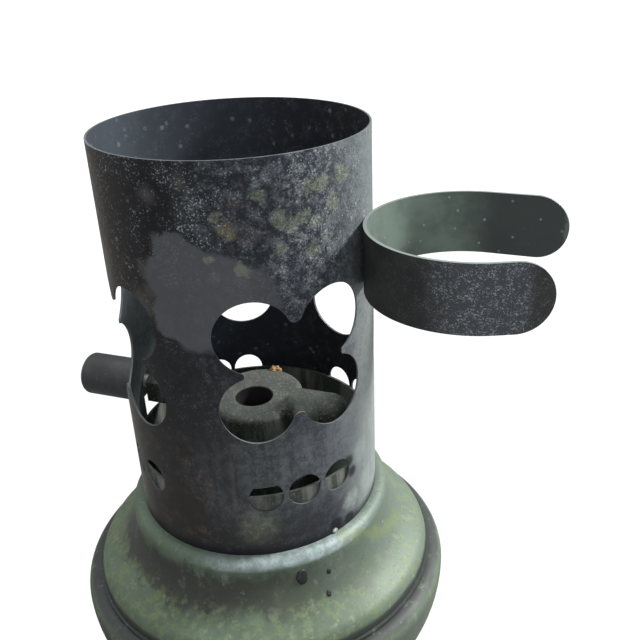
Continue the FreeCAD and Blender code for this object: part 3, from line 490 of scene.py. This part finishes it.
# Dust lies thickest high up on the lit side, and thinly on the stain
def sootDust(soot, colour, angle, wavy, stain):
    fine, crisp = soot.noises["fine"], soot.noises["crisp"]
    dusty = soot.band(wavy, "dusty") * soot.fade(soot.step(angle, "dustRight"), "dustRight")
    dusty = dusty * soot.floor(soot.step(soot.z, "high"), "dusty")
    cover = soot.blendStep("cover")
    bloom = soot.blendStep("bloom")
    offStain = soot.fade(stain, "mistOnStain")
    colour = soot.coat(colour, dusty * bloom * soot.floor(cover, "bloom") * offStain, "mist")
    colour = soot.coat(colour, stain * soot.fade(stain, "stainMist") * bloom, "stainMist")
    grit = soot.blendStep("grit") * soot.step(soot.noises["grain"], "gritGrain")
    blotches = sootSpots(soot, "blotches") * soot.look["blotchWeight"]
    blotches = soot.step(soot.blend("blotches", blotches), "blotches")
    colour = soot.coat(colour, blotches * soot.floor(grit, "blotches"), "blotches")
    for name in ("ochre", "rose"):
        colour = soot.coat(colour, sootSpots(soot, name) * soot.floor(grit, name), name)
    pits = (1 - soot.step(crisp, "pits")) * dusty * offStain
    colour = soot.coat(colour, pits, "pits")
    cluster = soot.blendStep("cluster")
    upper = soot.floor(soot.step(soot.z, "upper"), "upper")
    specks = soot.step(soot.noises["coarse"], "specks") * soot.step(fine, "speckGrain")
    specks = specks * soot.floor(dusty, "speckDust") * soot.floor(cluster, "speckCluster") * upper
    scattered = soot.step(crisp, "scattered") * cluster * upper
    shares = soot.look["dustShares"]
    dust = (grit * dusty * soot.floor(cover, "thick") * shares["grit"]).most(specks * shares["specks"])
    dust = dust.most(scattered * shares["scattered"]) * soot.fade(stain, "dustOnStain")
    return soot.coat(colour, dust, "dust"), dust, bloom


def sootFoot(soot, colour, bloom):
    share = soot.look["footPatchBase"] + bloom * soot.look["footPatchBloom"]
    colour = soot.coat(colour, sootSpots(soot, "footPatch") * share, "footPatch")
    colour = soot.coat(colour, sootSpots(soot, "footBrown"), "footBrown")
    colour = soot.coat(colour, sootSpots(soot, "black"), "blackSpots")
    return soot.coat(colour, 1 - soot.step(soot.sway(soot.z, "foot"), "foot"), "foot")


# Inside: painted shade on the far wall towards azimuth 0, painted light towards azimuth 168, lighter
# still low down towards azimuth 148; over it dust dots, a mottled mist in the lit tone, and specks
def sootInside(soot):
    fine, crisp = soot.noises["fine"], soot.noises["crisp"]
    tones, azimuths = soot.look["tones"], soot.look["insideAzimuths"]
    edges = soot.step(abs(soot.around(azimuths["dark"])), "inside")
    inner = soot.coat(tones["insideShade"], edges, "inside")
    lit = soot.step(abs(soot.sway(soot.around(azimuths["lit"]), "insideLit")), "insideLit")
    inner = soot.mix(lit, tones["insideLit"], inner)
    low = 1 - soot.step(soot.z, "insideLowLight")
    low = low * (1 - soot.step(abs(soot.around(azimuths["low"])), "insideLowTurn"))
    low = low * soot.floor(soot.step(fine, "insideLowGrain"), "insideLowLight")
    inner = soot.coat(inner, low, "insideLowLight")
    dots = soot.dots(*soot.look["insideDots"]) * soot.step(fine, "insideDots")
    inner = soot.coat(inner, dots, "insideDots")
    inner = soot.coat(inner, soot.blendStep("insideMist"), "insideMist")
    specks = soot.step(crisp, "insideSpecks") * soot.step(soot.noises["ragged"], "insideRagged")
    return soot.coat(inner, specks, "insideSpecks")


def sootFinish():
    soot = Finish("sootyBrass", sootLook)
    angle = soot.around(viewAzimuth)
    wavy = soot.sway(angle, "wavy")
    stain = sootSpots(soot, "stain")
    colour = sootGround(soot, angle, wavy)
    colour = soot.coat(colour, stain * soot.fade(soot.step(wavy, "stainRight"), "stainRight"), "stain")
    colour, dust, bloom = sootDust(soot, colour, angle, wavy, stain)
    colour = sootFoot(soot, colour, bloom)
    colour = soot.mix(soot.step(soot.reach(), "wall"), sootInside(soot), colour)
    colour = soot.coat(colour, soot.cutEdge(), "edge")
    fine, rough, metal = soot.noises["fine"], sootLook["roughness"], sootLook["metallic"]
    roughness = rough["base"] + dust * rough["dust"] + fine * rough["fine"] - stain * rough["stain"]
    soot.paint(colour, roughness, metal["base"] - dust * metal["dust"])
    soot.shader.inputs["Specular IOR Level"].default_value = sootLook["gloss"]
    soot.relief()
    return soot.material


# Spring clip: the same brass, sage green inside and blackened outside with dense fine dust, and a
# painted shadow over the outer half of its inside

clipLook = {
    "tones": {
        "black": tone(0.016, 0.018, 0.019),
        "olive": tone(0.026, 0.029, 0.026),
        "slate": tone(0.052, 0.058, 0.068),
        "dust": tone(0.330, 0.360, 0.390),
        "sage": tone(0.135, 0.180, 0.152),
        "sageDark": tone(0.088, 0.118, 0.104),
        "shade": tone(0.036, 0.043, 0.044),
        "tip": tone(0.100, 0.135, 0.120),
        "edge": tone(0.240, 0.280, 0.260),
    },
    "noises": {
        "clouds": {"scale": 95, "detail": 5, "roughness": 0.62},
        "fine": {"scale": 500, "detail": 4, "roughness": 0.65},
        "grain": {"scale": 2300, "detail": 3, "roughness": 0.75},
        "curls": {"scale": 620, "detail": 2, "roughness": 0.6, "shift": 0.5},
    },
    "grains": {"crisp": 3900},
    "sways": {"tip": ("fine", 0.003), "middle": ("clouds", 0.016), "shade": ("clouds", 0.010)},
    "steps": {
        "inward": (-0.004, 0.004), "olive": (0.35, 0.7), "middle": (0.056, 0.070),
        "darkTip": (0.0815, 0.0850), "specks": (0.70, 0.95), "speckGrain": (0.42, 0.56),
        "powder": (0.57, 0.70), "curls": (0.004, 0.020), "curlGrain": (0.5, 0.6),
        "sageDark": (0.35, 0.68), "shade": (0.054, 0.072), "tip": (0.0868, 0.0882),
        "crumbs": (0.44, 0.56),
    },
    "blends": {"relief": {"grain": 0.4, "fine": 0.6}},
    "fades": {"darkTip": 0.85},
    "coats": {
        "olive": ("olive", 1), "slate": ("slate", 0.9), "dust": ("dust", 1),
        "sageDark": ("sageDark", 1), "shade": ("shade", 0.92), "tip": ("tip", 1),
        "crumbs": ("dust", 0.6), "edge": ("edge", 0.7),
    },
    "dustShares": {"powder": 0.7, "curls": 0.5},
    "dustBase": 0.10,
    "dustMiddle": 0.75,
    "crumbs": (330, 0.16),
    "roughness": {"base": 0.50, "fine": 0.2, "dust": 0.1},
    "metallic": 0.30,
    "relief": (0.00009, 0.6),
}


def clipDust(clip, middle):
    fine, look = clip.noises["fine"], clip.look
    specks = clip.step(clip.noises["crisp"], "specks") * clip.step(fine, "speckGrain")
    powder = clip.step(clip.noises["grain"], "powder")
    curls = (1 - clip.step(abs(clip.noises["curls"] - 0.5), "curls")) * clip.step(fine, "curlGrain")
    dust = specks.most(powder * look["dustShares"]["powder"]).most(curls * look["dustShares"]["curls"])
    return dust * (look["dustBase"] + middle * look["dustMiddle"])


def clipFinish():
    clip = Finish("clipBrass", clipLook)
    clouds, fine, tones = clip.noises["clouds"], clip.noises["fine"], clipLook["tones"]
    centreX = clipReach * math.cos(clipAzimuth)
    centreY = clipReach * math.sin(clipAzimuth)
    inward = clip.normalX * (centreX - clip.x) + clip.normalY * (centreY - clip.y)
    inward = clip.step(inward, "inward")
    along = clip.x * math.cos(clipAzimuth) + clip.y * math.sin(clipAzimuth)
    tip = clip.sway(along, "tip")

    outer = clip.coat(tones["black"], clip.step(clouds, "olive"), "olive")
    middle = clip.step(clip.sway(along, "middle"), "middle")
    middle = middle * clip.fade(clip.step(tip, "darkTip"), "darkTip")
    outer = clip.coat(outer, middle, "slate")
    dust = clipDust(clip, middle)
    outer = clip.coat(outer, dust, "dust")

    inner = clip.coat(tones["sage"], clip.step(clouds, "sageDark"), "sageDark")
    # Painted shadow: a dark band over the outer half of the clip's inside, up to the greener tip
    inner = clip.coat(inner, clip.step(clip.sway(along, "shade"), "shade"), "shade")
    inner = clip.coat(inner, clip.step(tip, "tip"), "tip")
    inner = clip.coat(inner, clip.dots(*clipLook["crumbs"]) * clip.step(clouds, "crumbs"), "crumbs")

    colour = clip.coat(clip.mix(inward, outer, inner), clip.cutEdge(centreX, centreY), "edge")
    rough = clipLook["roughness"]
    clip.paint(colour, rough["base"] + fine * rough["fine"] - dust * rough["dust"], clipLook["metallic"])
    clip.relief()
    return clip.material


# Tank: brass gone sage green, with yellow-green rubbed patches; dark in the cove from a brown smear with
# painted shade at the left, black painted shade in the crease and painted shade on the lower belly;
# painted light on the right side and a painted highlight on the shoulder

tankLook = {
    "tones": {
        "sage": tone(0.096, 0.138, 0.098),
        "green": tone(0.062, 0.096, 0.060),
        "yellow": tone(0.160, 0.205, 0.085),
        # Painted light on the right side of the tank
        "litSage": tone(0.132, 0.172, 0.142),
        # Sky is a painted highlight on the shoulder
        "sky": tone(0.330, 0.405, 0.425),
        "brown": tone(0.030, 0.031, 0.027),
        # Slate paints the shade in the crease and on the belly
        "slate": tone(0.026, 0.030, 0.031),
        "grey": tone(0.135, 0.142, 0.146),
        "pale": tone(0.300, 0.340, 0.310),
        "dust": tone(0.480, 0.520, 0.500),
    },
    "noises": {
        "clouds": {"scale": 34, "detail": 5, "roughness": 0.6},
        "drift": {"scale": 75, "detail": 5, "roughness": 0.65, "shift": 0.7},
        "fine": {"scale": 380, "detail": 4, "roughness": 0.65},
        "grain": {"scale": 1700, "detail": 4, "roughness": 0.8},
        "streaks": {"scale": 1.0, "detail": 4, "roughness": 0.6, "stretch": (260, 260, 30)},
    },
    "grains": {"crisp": 1900},
    "sways": {
        "litRightSide": ("drift", 40), "shadedLeft": ("clouds", 60), "height": ("drift", 0.010),
        "runs": ("streaks", 0.006), "crease": ("drift", 0.002),
    },
    "steps": {
        "green": (0.38, 0.64), "yellow": (0.50, 0.72), "shoulderGrain": (0.36, 0.62),
        "brown": (0.24, 0.46), "mottled": (0.50, 0.62), "flare": (0.0560, 0.0600),
        "flareGrain": (0.44, 0.60), "belly": (0.0400, 0.0470), "blots": (0.55, 0.66),
        "pits": (0.06, 0.20), "pitGrain": (0.42, 0.58), "rubbed": (0.54, 0.66), "specks": (0.52, 0.60),
        "grit": (0.975, 0.990), "gritGrain": (0.45, 0.6),
    },
    "bands": {
        "litRightSide": (26, 120, 36), "shadedLeft": (-110, 16, 46), "yellowRight": (20, 120, 30),
        "shoulder": (0.0692, 0.0722, 0.0008), "shoulderTurn": (-24, 44, 14),
        "cove": (0.0565, 0.0672, 0.0020), "mottled": (0.0565, 0.0672, 0.003), "streak": (38, 46, 5),
        "streakHeight": (0.0580, 0.0725, 0.0030), "crease": (0.0444, 0.0492, 0.0008),
    },
    "blends": {
        "mottled": {"drift": 0.5, "fine": 0.3, "streaks": 0.2}, "rubbed": {"streaks": 0.5, "fine": 0.5},
        "blots": {"drift": 0.45, "fine": 0.35, "streaks": 0.20}, "relief": {"grain": 0.4, "fine": 0.6},
    },
    "fades": {"yellowRight": 0.5},
    "coats": {
        "green": ("green", 1), "yellow": ("yellow", 0.6), "litRightSide": ("litSage", 0.75),
        "shoulder": ("sky", 1), "cove": ("brown", 1), "mottled": ("grey", 0.5),
        "streak": ("yellow", 0.7), "flare": ("yellow", 0.45), "crease": ("slate", 0.92),
        "belly": ("slate", 1), "blots": ("brown", 0.30), "pits": ("brown", 0.35),
        "rubbed": ("pale", 0.20), "specks": ("dust", 1),
    },
    # The least share of a layer, and what a second share adds to it
    "shoulder": (0.4, 0.5),
    "cove": (0.12, 0.84),
    "belly": (0.35, 0.5),
    "streakHeight": 0.0690,
    "streakSlope": 2600,
    "specks": (150, 0.08),
    "speckShare": 0.8,
    "gritShare": 0.12,
    "roughness": {"base": 0.46, "clouds": 0.14, "fine": 0.14},
    "metallic": {"base": 0.18, "blots": 0.1},
    "relief": (0.00010, 0.5),
}


def tankShare(name, share):
    least, added = tankLook[name]
    return least + share * added


# Between the shoulder and the rim: a painted highlight along the shoulder, a brown smear in the cove
# with painted shade that makes it thickest at the left, and a yellow streak at the right
def tankCove(tank, colour, angle, litRightSide, shadedLeft, ragged):
    clouds, fine = tank.noises["clouds"], tank.noises["fine"]
    # Painted highlight: a bluish-white ring along the shoulder, on the side towards the light
    shoulder = tank.band(tank.z, "shoulder") * tank.band(angle, "shoulderTurn")
    shoulder = shoulder * tankShare("shoulder", tank.step(fine, "shoulderGrain"))
    colour = tank.coat(colour, shoulder, "shoulder")
    # A brown smear in the cove, with painted shade making it thickest on the left
    cove = tank.band(ragged, "cove") * tankShare("cove", shadedLeft) * tank.step(clouds, "brown")
    colour = tank.coat(colour, cove, "cove")
    mottled = tank.blendStep("mottled") * tank.band(ragged, "mottled")
    colour = tank.coat(colour, mottled * litRightSide, "mottled")
    slope = (ragged - tankLook["streakHeight"]) * tankLook["streakSlope"]
    streak = tank.band(angle + slope, "streak") * tank.band(tank.z, "streakHeight")
    return tank.coat(colour, streak, "streak")


def tankFinish():
    tank = Finish("agedBrass", tankLook)
    clouds, drift, fine = tank.noises["clouds"], tank.noises["drift"], tank.noises["fine"]
    angle = tank.around(viewAzimuth)
    litRightSide = tank.band(tank.sway(angle, "litRightSide"), "litRightSide")
    # The shaded left side, which weights the painted shade in the cove and on the belly
    shadedLeft = tank.band(tank.sway(angle, "shadedLeft"), "shadedLeft")
    ragged = tank.sway(tank.sway(tank.z, "height"), "runs")

    colour = tank.coat(tankLook["tones"]["sage"], tank.step(clouds, "green"), "green")
    yellow = tank.step(drift, "yellow") * tank.fade(tank.band(angle, "yellowRight"), "yellowRight")
    colour = tank.coat(colour, yellow, "yellow")
    # Painted light: the right side paler, where the light falls
    colour = tank.coat(colour, litRightSide, "litRightSide")
    colour = tankCove(tank, colour, angle, litRightSide, shadedLeft, ragged)
    colour = tank.coat(colour, (1 - tank.step(ragged, "flare")) * tank.step(fine, "flareGrain"), "flare")
    # Painted shade: near-black in the crease under the rim
    colour = tank.coat(colour, tank.band(tank.sway(tank.z, "crease"), "crease"), "crease")
    # Painted shade: the lower belly darker, most on the shaded left
    colour = tank.coat(colour, (1 - tank.step(tank.z, "belly")) * tankShare("belly", shadedLeft), "belly")

    blots = tank.blendStep("blots")
    colour = tank.coat(colour, blots, "blots")
    pits = 1 - tank.step(tank.noises["crisp"], "pits")
    colour = tank.coat(colour, pits * tank.step(fine, "pitGrain"), "pits")
    colour = tank.coat(colour, tank.blendStep("rubbed"), "rubbed")
    specks = tank.dots(*tankLook["specks"]) * tank.step(drift, "specks") * tankLook["speckShare"]
    grit = tank.step(tank.noises["crisp"], "grit") * tank.step(fine, "gritGrain") * tankLook["gritShare"]
    colour = tank.coat(colour, specks.most(grit), "specks")
    rough, metal = tankLook["roughness"], tankLook["metallic"]
    roughness = rough["base"] + clouds * rough["clouds"] + fine * rough["fine"]
    tank.paint(colour, roughness, metal["base"] - blots * metal["blots"])
    tank.relief()
    return tank.material


# Burner, spirit cup and collar: heat-dulled brass, dusty on top and streaked on its upright faces, with
# painted shade on those faces and a black painted shade in the central hole

burnerLook = {
    "tones": {
        "olive": tone(0.056, 0.062, 0.052),
        "dark": tone(0.032, 0.035, 0.030),
        "dust": tone(0.260, 0.280, 0.255),
        "green": tone(0.058, 0.078, 0.058),
        "side": tone(0.300, 0.315, 0.280),
        # This tone paints the pitting, and also painted shade on the upright faces
        "pitAndShade": tone(0.016, 0.018, 0.015),
        "soot": tone(0.018, 0.019, 0.019),
        # Black for the painted shade in the central hole
        "throat": tone(0.004, 0.004, 0.005),
    },
    "noises": {
        "clouds": {"scale": 120, "detail": 5, "roughness": 0.6},
        "fine": {"scale": 650, "detail": 4, "roughness": 0.65},
        "grain": {"scale": 1900, "detail": 4, "roughness": 0.8},
        "green": {"scale": 150, "detail": 3, "roughness": 0.6, "shift": 0.4},
        "pitted": {"scale": 260, "detail": 5, "roughness": 0.7, "shift": 0.2},
        "streaks": {"scale": 1.0, "detail": 4, "roughness": 0.6, "stretch": (130, 130, 18)},
    },
    "grains": {"crisp": 2200},
    "sways": {"throat": ("fine", 0.0004)},
    "steps": {
        "dark": (0.36, 0.64), "green": (0.50, 0.70), "soot": (0.30, 0.75), "level": (0.1, 0.9),
        "settled": (0.40, 0.62), "powder": (0.62, 0.95), "powderGrain": (0.42, 0.62),
        "upright": (0.3, 0.9), "streaks": (0.46, 0.64), "pitted": (0.47, 0.60),
        "throat": (0.0058, 0.0063), "throatHeight": (0.0870, 0.0890),
    },
    "blends": {"pitted": {"pitted": 0.6, "fine": 0.4}, "relief": {"grain": 0.4, "fine": 0.6}},
    "floors": {"level": 0.35, "settled": 0.4},
    "coats": {
        "dark": ("dark", 1), "green": ("green", 0.6), "soot": ("soot", 1), "sideShade": ("pitAndShade", 0.6),
        "streaks": ("side", 0.6), "pitted": ("pitAndShade", 0.65), "settled": ("dust", 0.14),
        "powder": ("dust", 0.55), "throat": ("throat", 1),
    },
    "roughness": {"base": 0.58, "fine": 0.2},
    "metallic": 0.25,
    "relief": (0.00016, 0.7),
    "pieces": {"burnerBrass": {"soot": 0.15, "dusty": 1.0}, "cupBrass": {"soot": 0.35, "dusty": 0.7}},
}


def burnerFinish(name):
    burner = Finish(name, burnerLook)
    soot, dusty = burnerLook["pieces"][name]["soot"], burnerLook["pieces"][name]["dusty"]
    clouds, fine = burner.noises["clouds"], burner.noises["fine"]
    upright = 1 - burner.step(abs(burner.normalZ), "upright")
    colour = burner.coat(burnerLook["tones"]["olive"], burner.step(clouds, "dark"), "dark")
    colour = burner.coat(colour, burner.step(burner.noises["green"], "green"), "green")
    colour = burner.coat(colour, burner.step(clouds, "soot") * soot, "soot")
    # Painted shade: upright faces darker than the top
    colour = burner.coat(colour, upright * dusty, "sideShade")
    streaks = burner.step(burner.noises["streaks"], "streaks")
    colour = burner.coat(colour, upright * streaks * dusty, "streaks")
    colour = burner.coat(colour, burner.blendStep("pitted") * (1 - upright), "pitted")
    settled = burner.floor(burner.step(burner.normalZ, "level"), "level")
    settled = settled * burner.floor(burner.step(fine, "settled"), "settled")
    colour = burner.coat(colour, settled * dusty, "settled")
    powder = burner.step(burner.noises["crisp"], "powder")
    powder = powder * burner.step(burner.noises["grain"], "powderGrain")
    colour = burner.coat(colour, powder * dusty, "powder")
    # Painted shade: black down in the central hole of the burner
    throat = 1 - burner.step(burner.sway(burner.reach(), "throat"), "throat")
    colour = burner.coat(colour, throat * burner.step(burner.z, "throatHeight"), "throat")
    rough = burnerLook["roughness"]
    burner.paint(colour, rough["base"] + fine * rough["fine"], burnerLook["metallic"])
    burner.relief()
    return burner.material


# Knob, steel spindle, packing, rubber and leather, and the small marks: paint, rust and solder

smallLook = {
    "knob": {"light": tone(0.042, 0.044, 0.046), "dark": tone(0.022, 0.023, 0.024),
             "metallic": 0.15, "roughness": 0.46, "scale": 160},
    "steel": {"light": tone(0.360, 0.360, 0.345), "dark": tone(0.120, 0.105, 0.090),
              "metallic": 0.90, "roughness": 0.38, "scale": 260},
    "packing": {"light": tone(0.055, 0.055, 0.055), "dark": tone(0.020, 0.020, 0.020),
                "metallic": 0.0, "roughness": 0.85, "scale": 700},
    "rubber": {"light": tone(0.035, 0.035, 0.035), "dark": tone(0.015, 0.015, 0.015),
               "metallic": 0.0, "roughness": 0.70, "scale": 300},
    "leather": {"light": tone(0.160, 0.085, 0.040), "dark": tone(0.060, 0.032, 0.018),
                "metallic": 0.0, "roughness": 0.60, "scale": 380},
}
smallShared = {
    "dust": tone(0.34, 0.35, 0.34),
    "dots": (900, 0.16),
    "dustShare": 0.5,
    "fineTimes": 6,
    "fineRough": 0.15,
    "steps": {"dark": (0.35, 0.68), "dots": (0.5, 0.62)},
    "blends": {"relief": {"fine": 1}},
    "relief": (0.0001, 0.6),
}
marks = {
    "blackPaint": {"light": tone(0.0060, 0.0075, 0.0080), "dark": tone(0.0030, 0.0040, 0.0045),
                   "roughness": 0.45},
    "rust": {"light": tone(0.3000, 0.1750, 0.0700), "dark": tone(0.1300, 0.0650, 0.0260),
             "roughness": 0.80},
    "solder": {"light": tone(0.4200, 0.4500, 0.4400), "dark": tone(0.2000, 0.2200, 0.2100),
               "roughness": 0.45},
    "dullSolder": {"light": tone(0.1300, 0.1450, 0.1300), "dark": tone(0.0600, 0.0700, 0.0620),
                   "roughness": 0.55},
}
markShared = {
    "noises": {"fine": {"scale": 900, "detail": 4, "roughness": 0.7}},
    "steps": {"dark": (0.38, 0.62)},
    "fineRough": 0.1,
}


def smallFinish(name):
    look = smallLook[name]
    fineScale = look["scale"] * smallShared["fineTimes"]
    noises = {"clouds": {"scale": look["scale"], "detail": 5, "roughness": 0.6},
              "fine": {"scale": fineScale, "detail": 3, "roughness": 0.6}}
    piece = Finish(f"{name}Finish", {**smallShared, "noises": noises})
    fine = piece.noises["fine"]
    colour = piece.mix(piece.step(piece.noises["clouds"], "dark"), look["light"], look["dark"])
    dust = piece.dots(*smallShared["dots"]) * piece.step(fine, "dots") * smallShared["dustShare"]
    colour = piece.mix(dust, colour, smallShared["dust"])
    piece.paint(colour, look["roughness"] + fine * smallShared["fineRough"], look["metallic"])
    piece.relief()
    return piece.material


def markFinish(name):
    look = marks[name]
    mark = Finish(name, markShared)
    fine = mark.noises["fine"]
    colour = mark.mix(mark.step(fine, "dark"), look["light"], look["dark"])
    mark.paint(colour, look["roughness"] + fine * markShared["fineRough"], 0.0)
    return mark.material


finishes = {
    "windscreen_black": sootFinish(),
    "clip_black": clipFinish(),
    "tank_brass": tankFinish(),
    "burner_brass": burnerFinish("burnerBrass"),
    "cup_brass": burnerFinish("cupBrass"),
    "knob_dark": smallFinish("knob"),
    "spindle_steel": smallFinish("steel"),
    "packing_cord": smallFinish("packing"),
    "seal_rubber": smallFinish("rubber"),
    "pump_leather": smallFinish("leather"),
}
markFinishes = {name: markFinish(name) for name in marks}
slots = {part["node"]: part["material_slot"] for part in frame["record"]["subparts"]}
for name, piece in nodes.items():
    piece.data.materials.clear()
    piece.data.materials.append(finishes[slots[name]])
print("finishes on", len(nodes), "nodes")


# Small things: paint drops on the tank, rust on the burner, solder at the foot and in two seams

blobs = {
    "paintDrop": {"on": "tank_dome", "azimuth": -95.9, "height": 0.0649,
                  "size": (0.0017, 0.0026, 0.0008), "uneven": 0.0009, "mark": "blackPaint"},
    "paintSpeckUpper": {"on": "tank_dome", "azimuth": -84.4, "height": 0.0636,
                        "size": (0.0007, 0.0009, 0.0004), "uneven": 0.0004, "mark": "blackPaint"},
    "paintSpeckLower": {"on": "tank_dome", "azimuth": -86.8, "height": 0.0582,
                        "size": (0.0008, 0.0010, 0.0004), "uneven": 0.0004, "mark": "blackPaint"},
    "footSolder": {"on": "windscreen", "azimuth": -76.0, "height": 0.0727,
                   "size": (0.0010, 0.0008, 0.0006), "uneven": 0.0004, "mark": "solder"},
}
flake = {"azimuth": 45.0, "reach": 0.0172, "size": (0.0021, 0.0013, 0.0011), "uneven": 0.0030}
seams = {
    "fillerSolder": {"on": "tank_dome", "ring": "filler_neck", "axis": "Z",
                     "thick": 0.0007, "clear": 0.0002},
    "pumpSolder": {"on": "tank_cup", "ring": "pump_bush", "axis": "Y",
                   "thick": 0.0008, "clear": 0.0002},
}
outsideReach = 0.12
aboveBurner = 0.15
lumpScale = 0.9
blobSplits = 5
seamPoints = 128
seamRounding = 3


def landing(piece, start, aim):
    return nodes[piece].ray_cast(start, aim)[1:3]


def makeBlob(name, place, normal, size, uneven, mark):
    bpy.ops.object.select_all(action="DESELECT")
    bpy.ops.mesh.primitive_ico_sphere_add(subdivisions=blobSplits, radius=1.0, location=place)
    blob = bpy.context.object
    blob.name = name
    blob.scale = size
    blob.rotation_mode = "QUATERNION"
    blob.rotation_quaternion = normal.to_track_quat("Z", "Y")
    bpy.ops.object.transform_apply(location=True, rotation=True, scale=True)
    lumps = bpy.data.textures.new(f"{name}Lumps", "CLOUDS")
    lumps.noise_scale = max(size) * lumpScale
    push = blob.modifiers.new("lumps", "DISPLACE")
    push.texture = lumps
    push.texture_coords = "GLOBAL"
    push.strength = uneven
    bpy.ops.object.modifier_apply(modifier="lumps")
    bpy.ops.object.shade_smooth()
    blob.data.materials.append(markFinishes[mark])
    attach(blob, "stove")


for name, blob in blobs.items():
    away = onScreen(blob["azimuth"], 0, 1.0)
    place, normal = landing(blob["on"], away * outsideReach + Vector((0, 0, blob["height"])), -away)
    makeBlob(name, place, normal, blob["size"], blob["uneven"], blob["mark"])
away = onScreen(flake["azimuth"], 0, flake["reach"])
place, normal = landing("burner_body", away + Vector((0, 0, aboveBurner)), Vector((0, 0, -1)))
makeBlob("rustFlake", place, normal, flake["size"], flake["uneven"], "rust")


def makeSeam(name, seam):
    low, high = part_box(seam["ring"])
    middle = (low + high) / 2
    alongPump = seam["axis"] == "Y"
    radius = (high.x - low.x) / 2 + seam["clear"]
    start = Vector((middle.x, high.y, middle.z)) if alongPump else Vector((middle.x, middle.y, high.z))
    bpy.ops.object.select_all(action="DESELECT")
    bpy.ops.mesh.primitive_circle_add(vertices=seamPoints, radius=radius, location=start,
                                      rotation=(math.pi / 2 if alongPump else 0, 0, 0))
    bead = bpy.context.object
    bead.name = name
    bpy.ops.object.transform_apply(location=True, rotation=True, scale=True)
    wrap = bead.modifiers.new("onto", "SHRINKWRAP")
    wrap.wrap_method = "PROJECT"
    wrap.target = nodes[seam["on"]]
    wrap.use_project_y = alongPump
    wrap.use_project_z = not alongPump
    wrap.use_negative_direction = True
    wrap.use_positive_direction = False
    bpy.ops.object.modifier_apply(modifier="onto")
    bpy.ops.object.convert(target="CURVE")
    bead = bpy.context.object
    bead.data.bevel_depth = seam["thick"]
    bead.data.bevel_resolution = seamRounding
    bpy.ops.object.convert(target="MESH")
    bead = bpy.context.object
    bpy.ops.object.shade_smooth()
    bead.data.materials.append(markFinishes["dullSolder"])
    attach(bead, "stove")


for name, seam in seams.items():
    makeSeam(name, seam)
print("small things made:", len(blobs) + 1 + len(seams))


# Backdrop


def makeFloor():
    bpy.ops.mesh.primitive_plane_add(size=studio["floorSize"], location=(0, 0, 0))
    floor = bpy.context.object
    floor.name = "studioFloor"
    paper = Finish("floorPaper")
    paper.paint(studio["floorColour"], studio["floorRough"], 0.0)
    glow = paper.node("ShaderNodeEmission", {}, {"Strength": studio["floorGlow"]})
    rays = paper.node("ShaderNodeLightPath", {}, {}, "Is Camera Ray")
    near = studio["floorNearShare"]
    share = rays * (near + (1 - near) * paper.reach().step(studio["floorNear"], studio["floorFar"]))
    lit = Wire(paper, paper.shader.outputs[0])
    shade = paper.node("ShaderNodeMixShader", {}, {0: share, 1: lit, 2: glow})
    paper.tree.links.new(shade.socket, paper.tree.nodes["Material Output"].inputs["Surface"])
    floor.data.materials.append(paper.material)


def makeWorld():
    world = bpy.data.worlds.new("studioWorld")
    bpy.context.scene.world = world
    world.use_nodes = True
    tree = world.node_tree
    back = tree.nodes["Background"]
    back.inputs["Color"].default_value = tone(1, 1, 1)
    rays = tree.nodes.new("ShaderNodeLightPath")
    seen = tree.nodes.new("ShaderNodeMath")
    seen.operation = "MAXIMUM"
    tree.links.new(rays.outputs["Is Camera Ray"], seen.inputs[0])
    tree.links.new(rays.outputs["Is Transmission Ray"], seen.inputs[1])
    glossy = tree.nodes.new("ShaderNodeMath")
    glossy.operation = "MULTIPLY_ADD"
    glossy.inputs[1].default_value = studio["glossyShare"]
    tree.links.new(rays.outputs["Is Glossy Ray"], glossy.inputs[0])
    tree.links.new(seen.outputs[0], glossy.inputs[2])
    level = tree.nodes.new("ShaderNodeMapRange")
    tree.links.new(glossy.outputs[0], level.inputs["Value"])
    level.inputs["To Min"].default_value = studio["worldStrength"]
    level.inputs["To Max"].default_value = 1.0
    tree.links.new(level.outputs[0], back.inputs["Strength"])


makeFloor()
makeWorld()
scene = bpy.context.scene
scene.view_settings.view_transform = "Standard"
print("floor and world made")
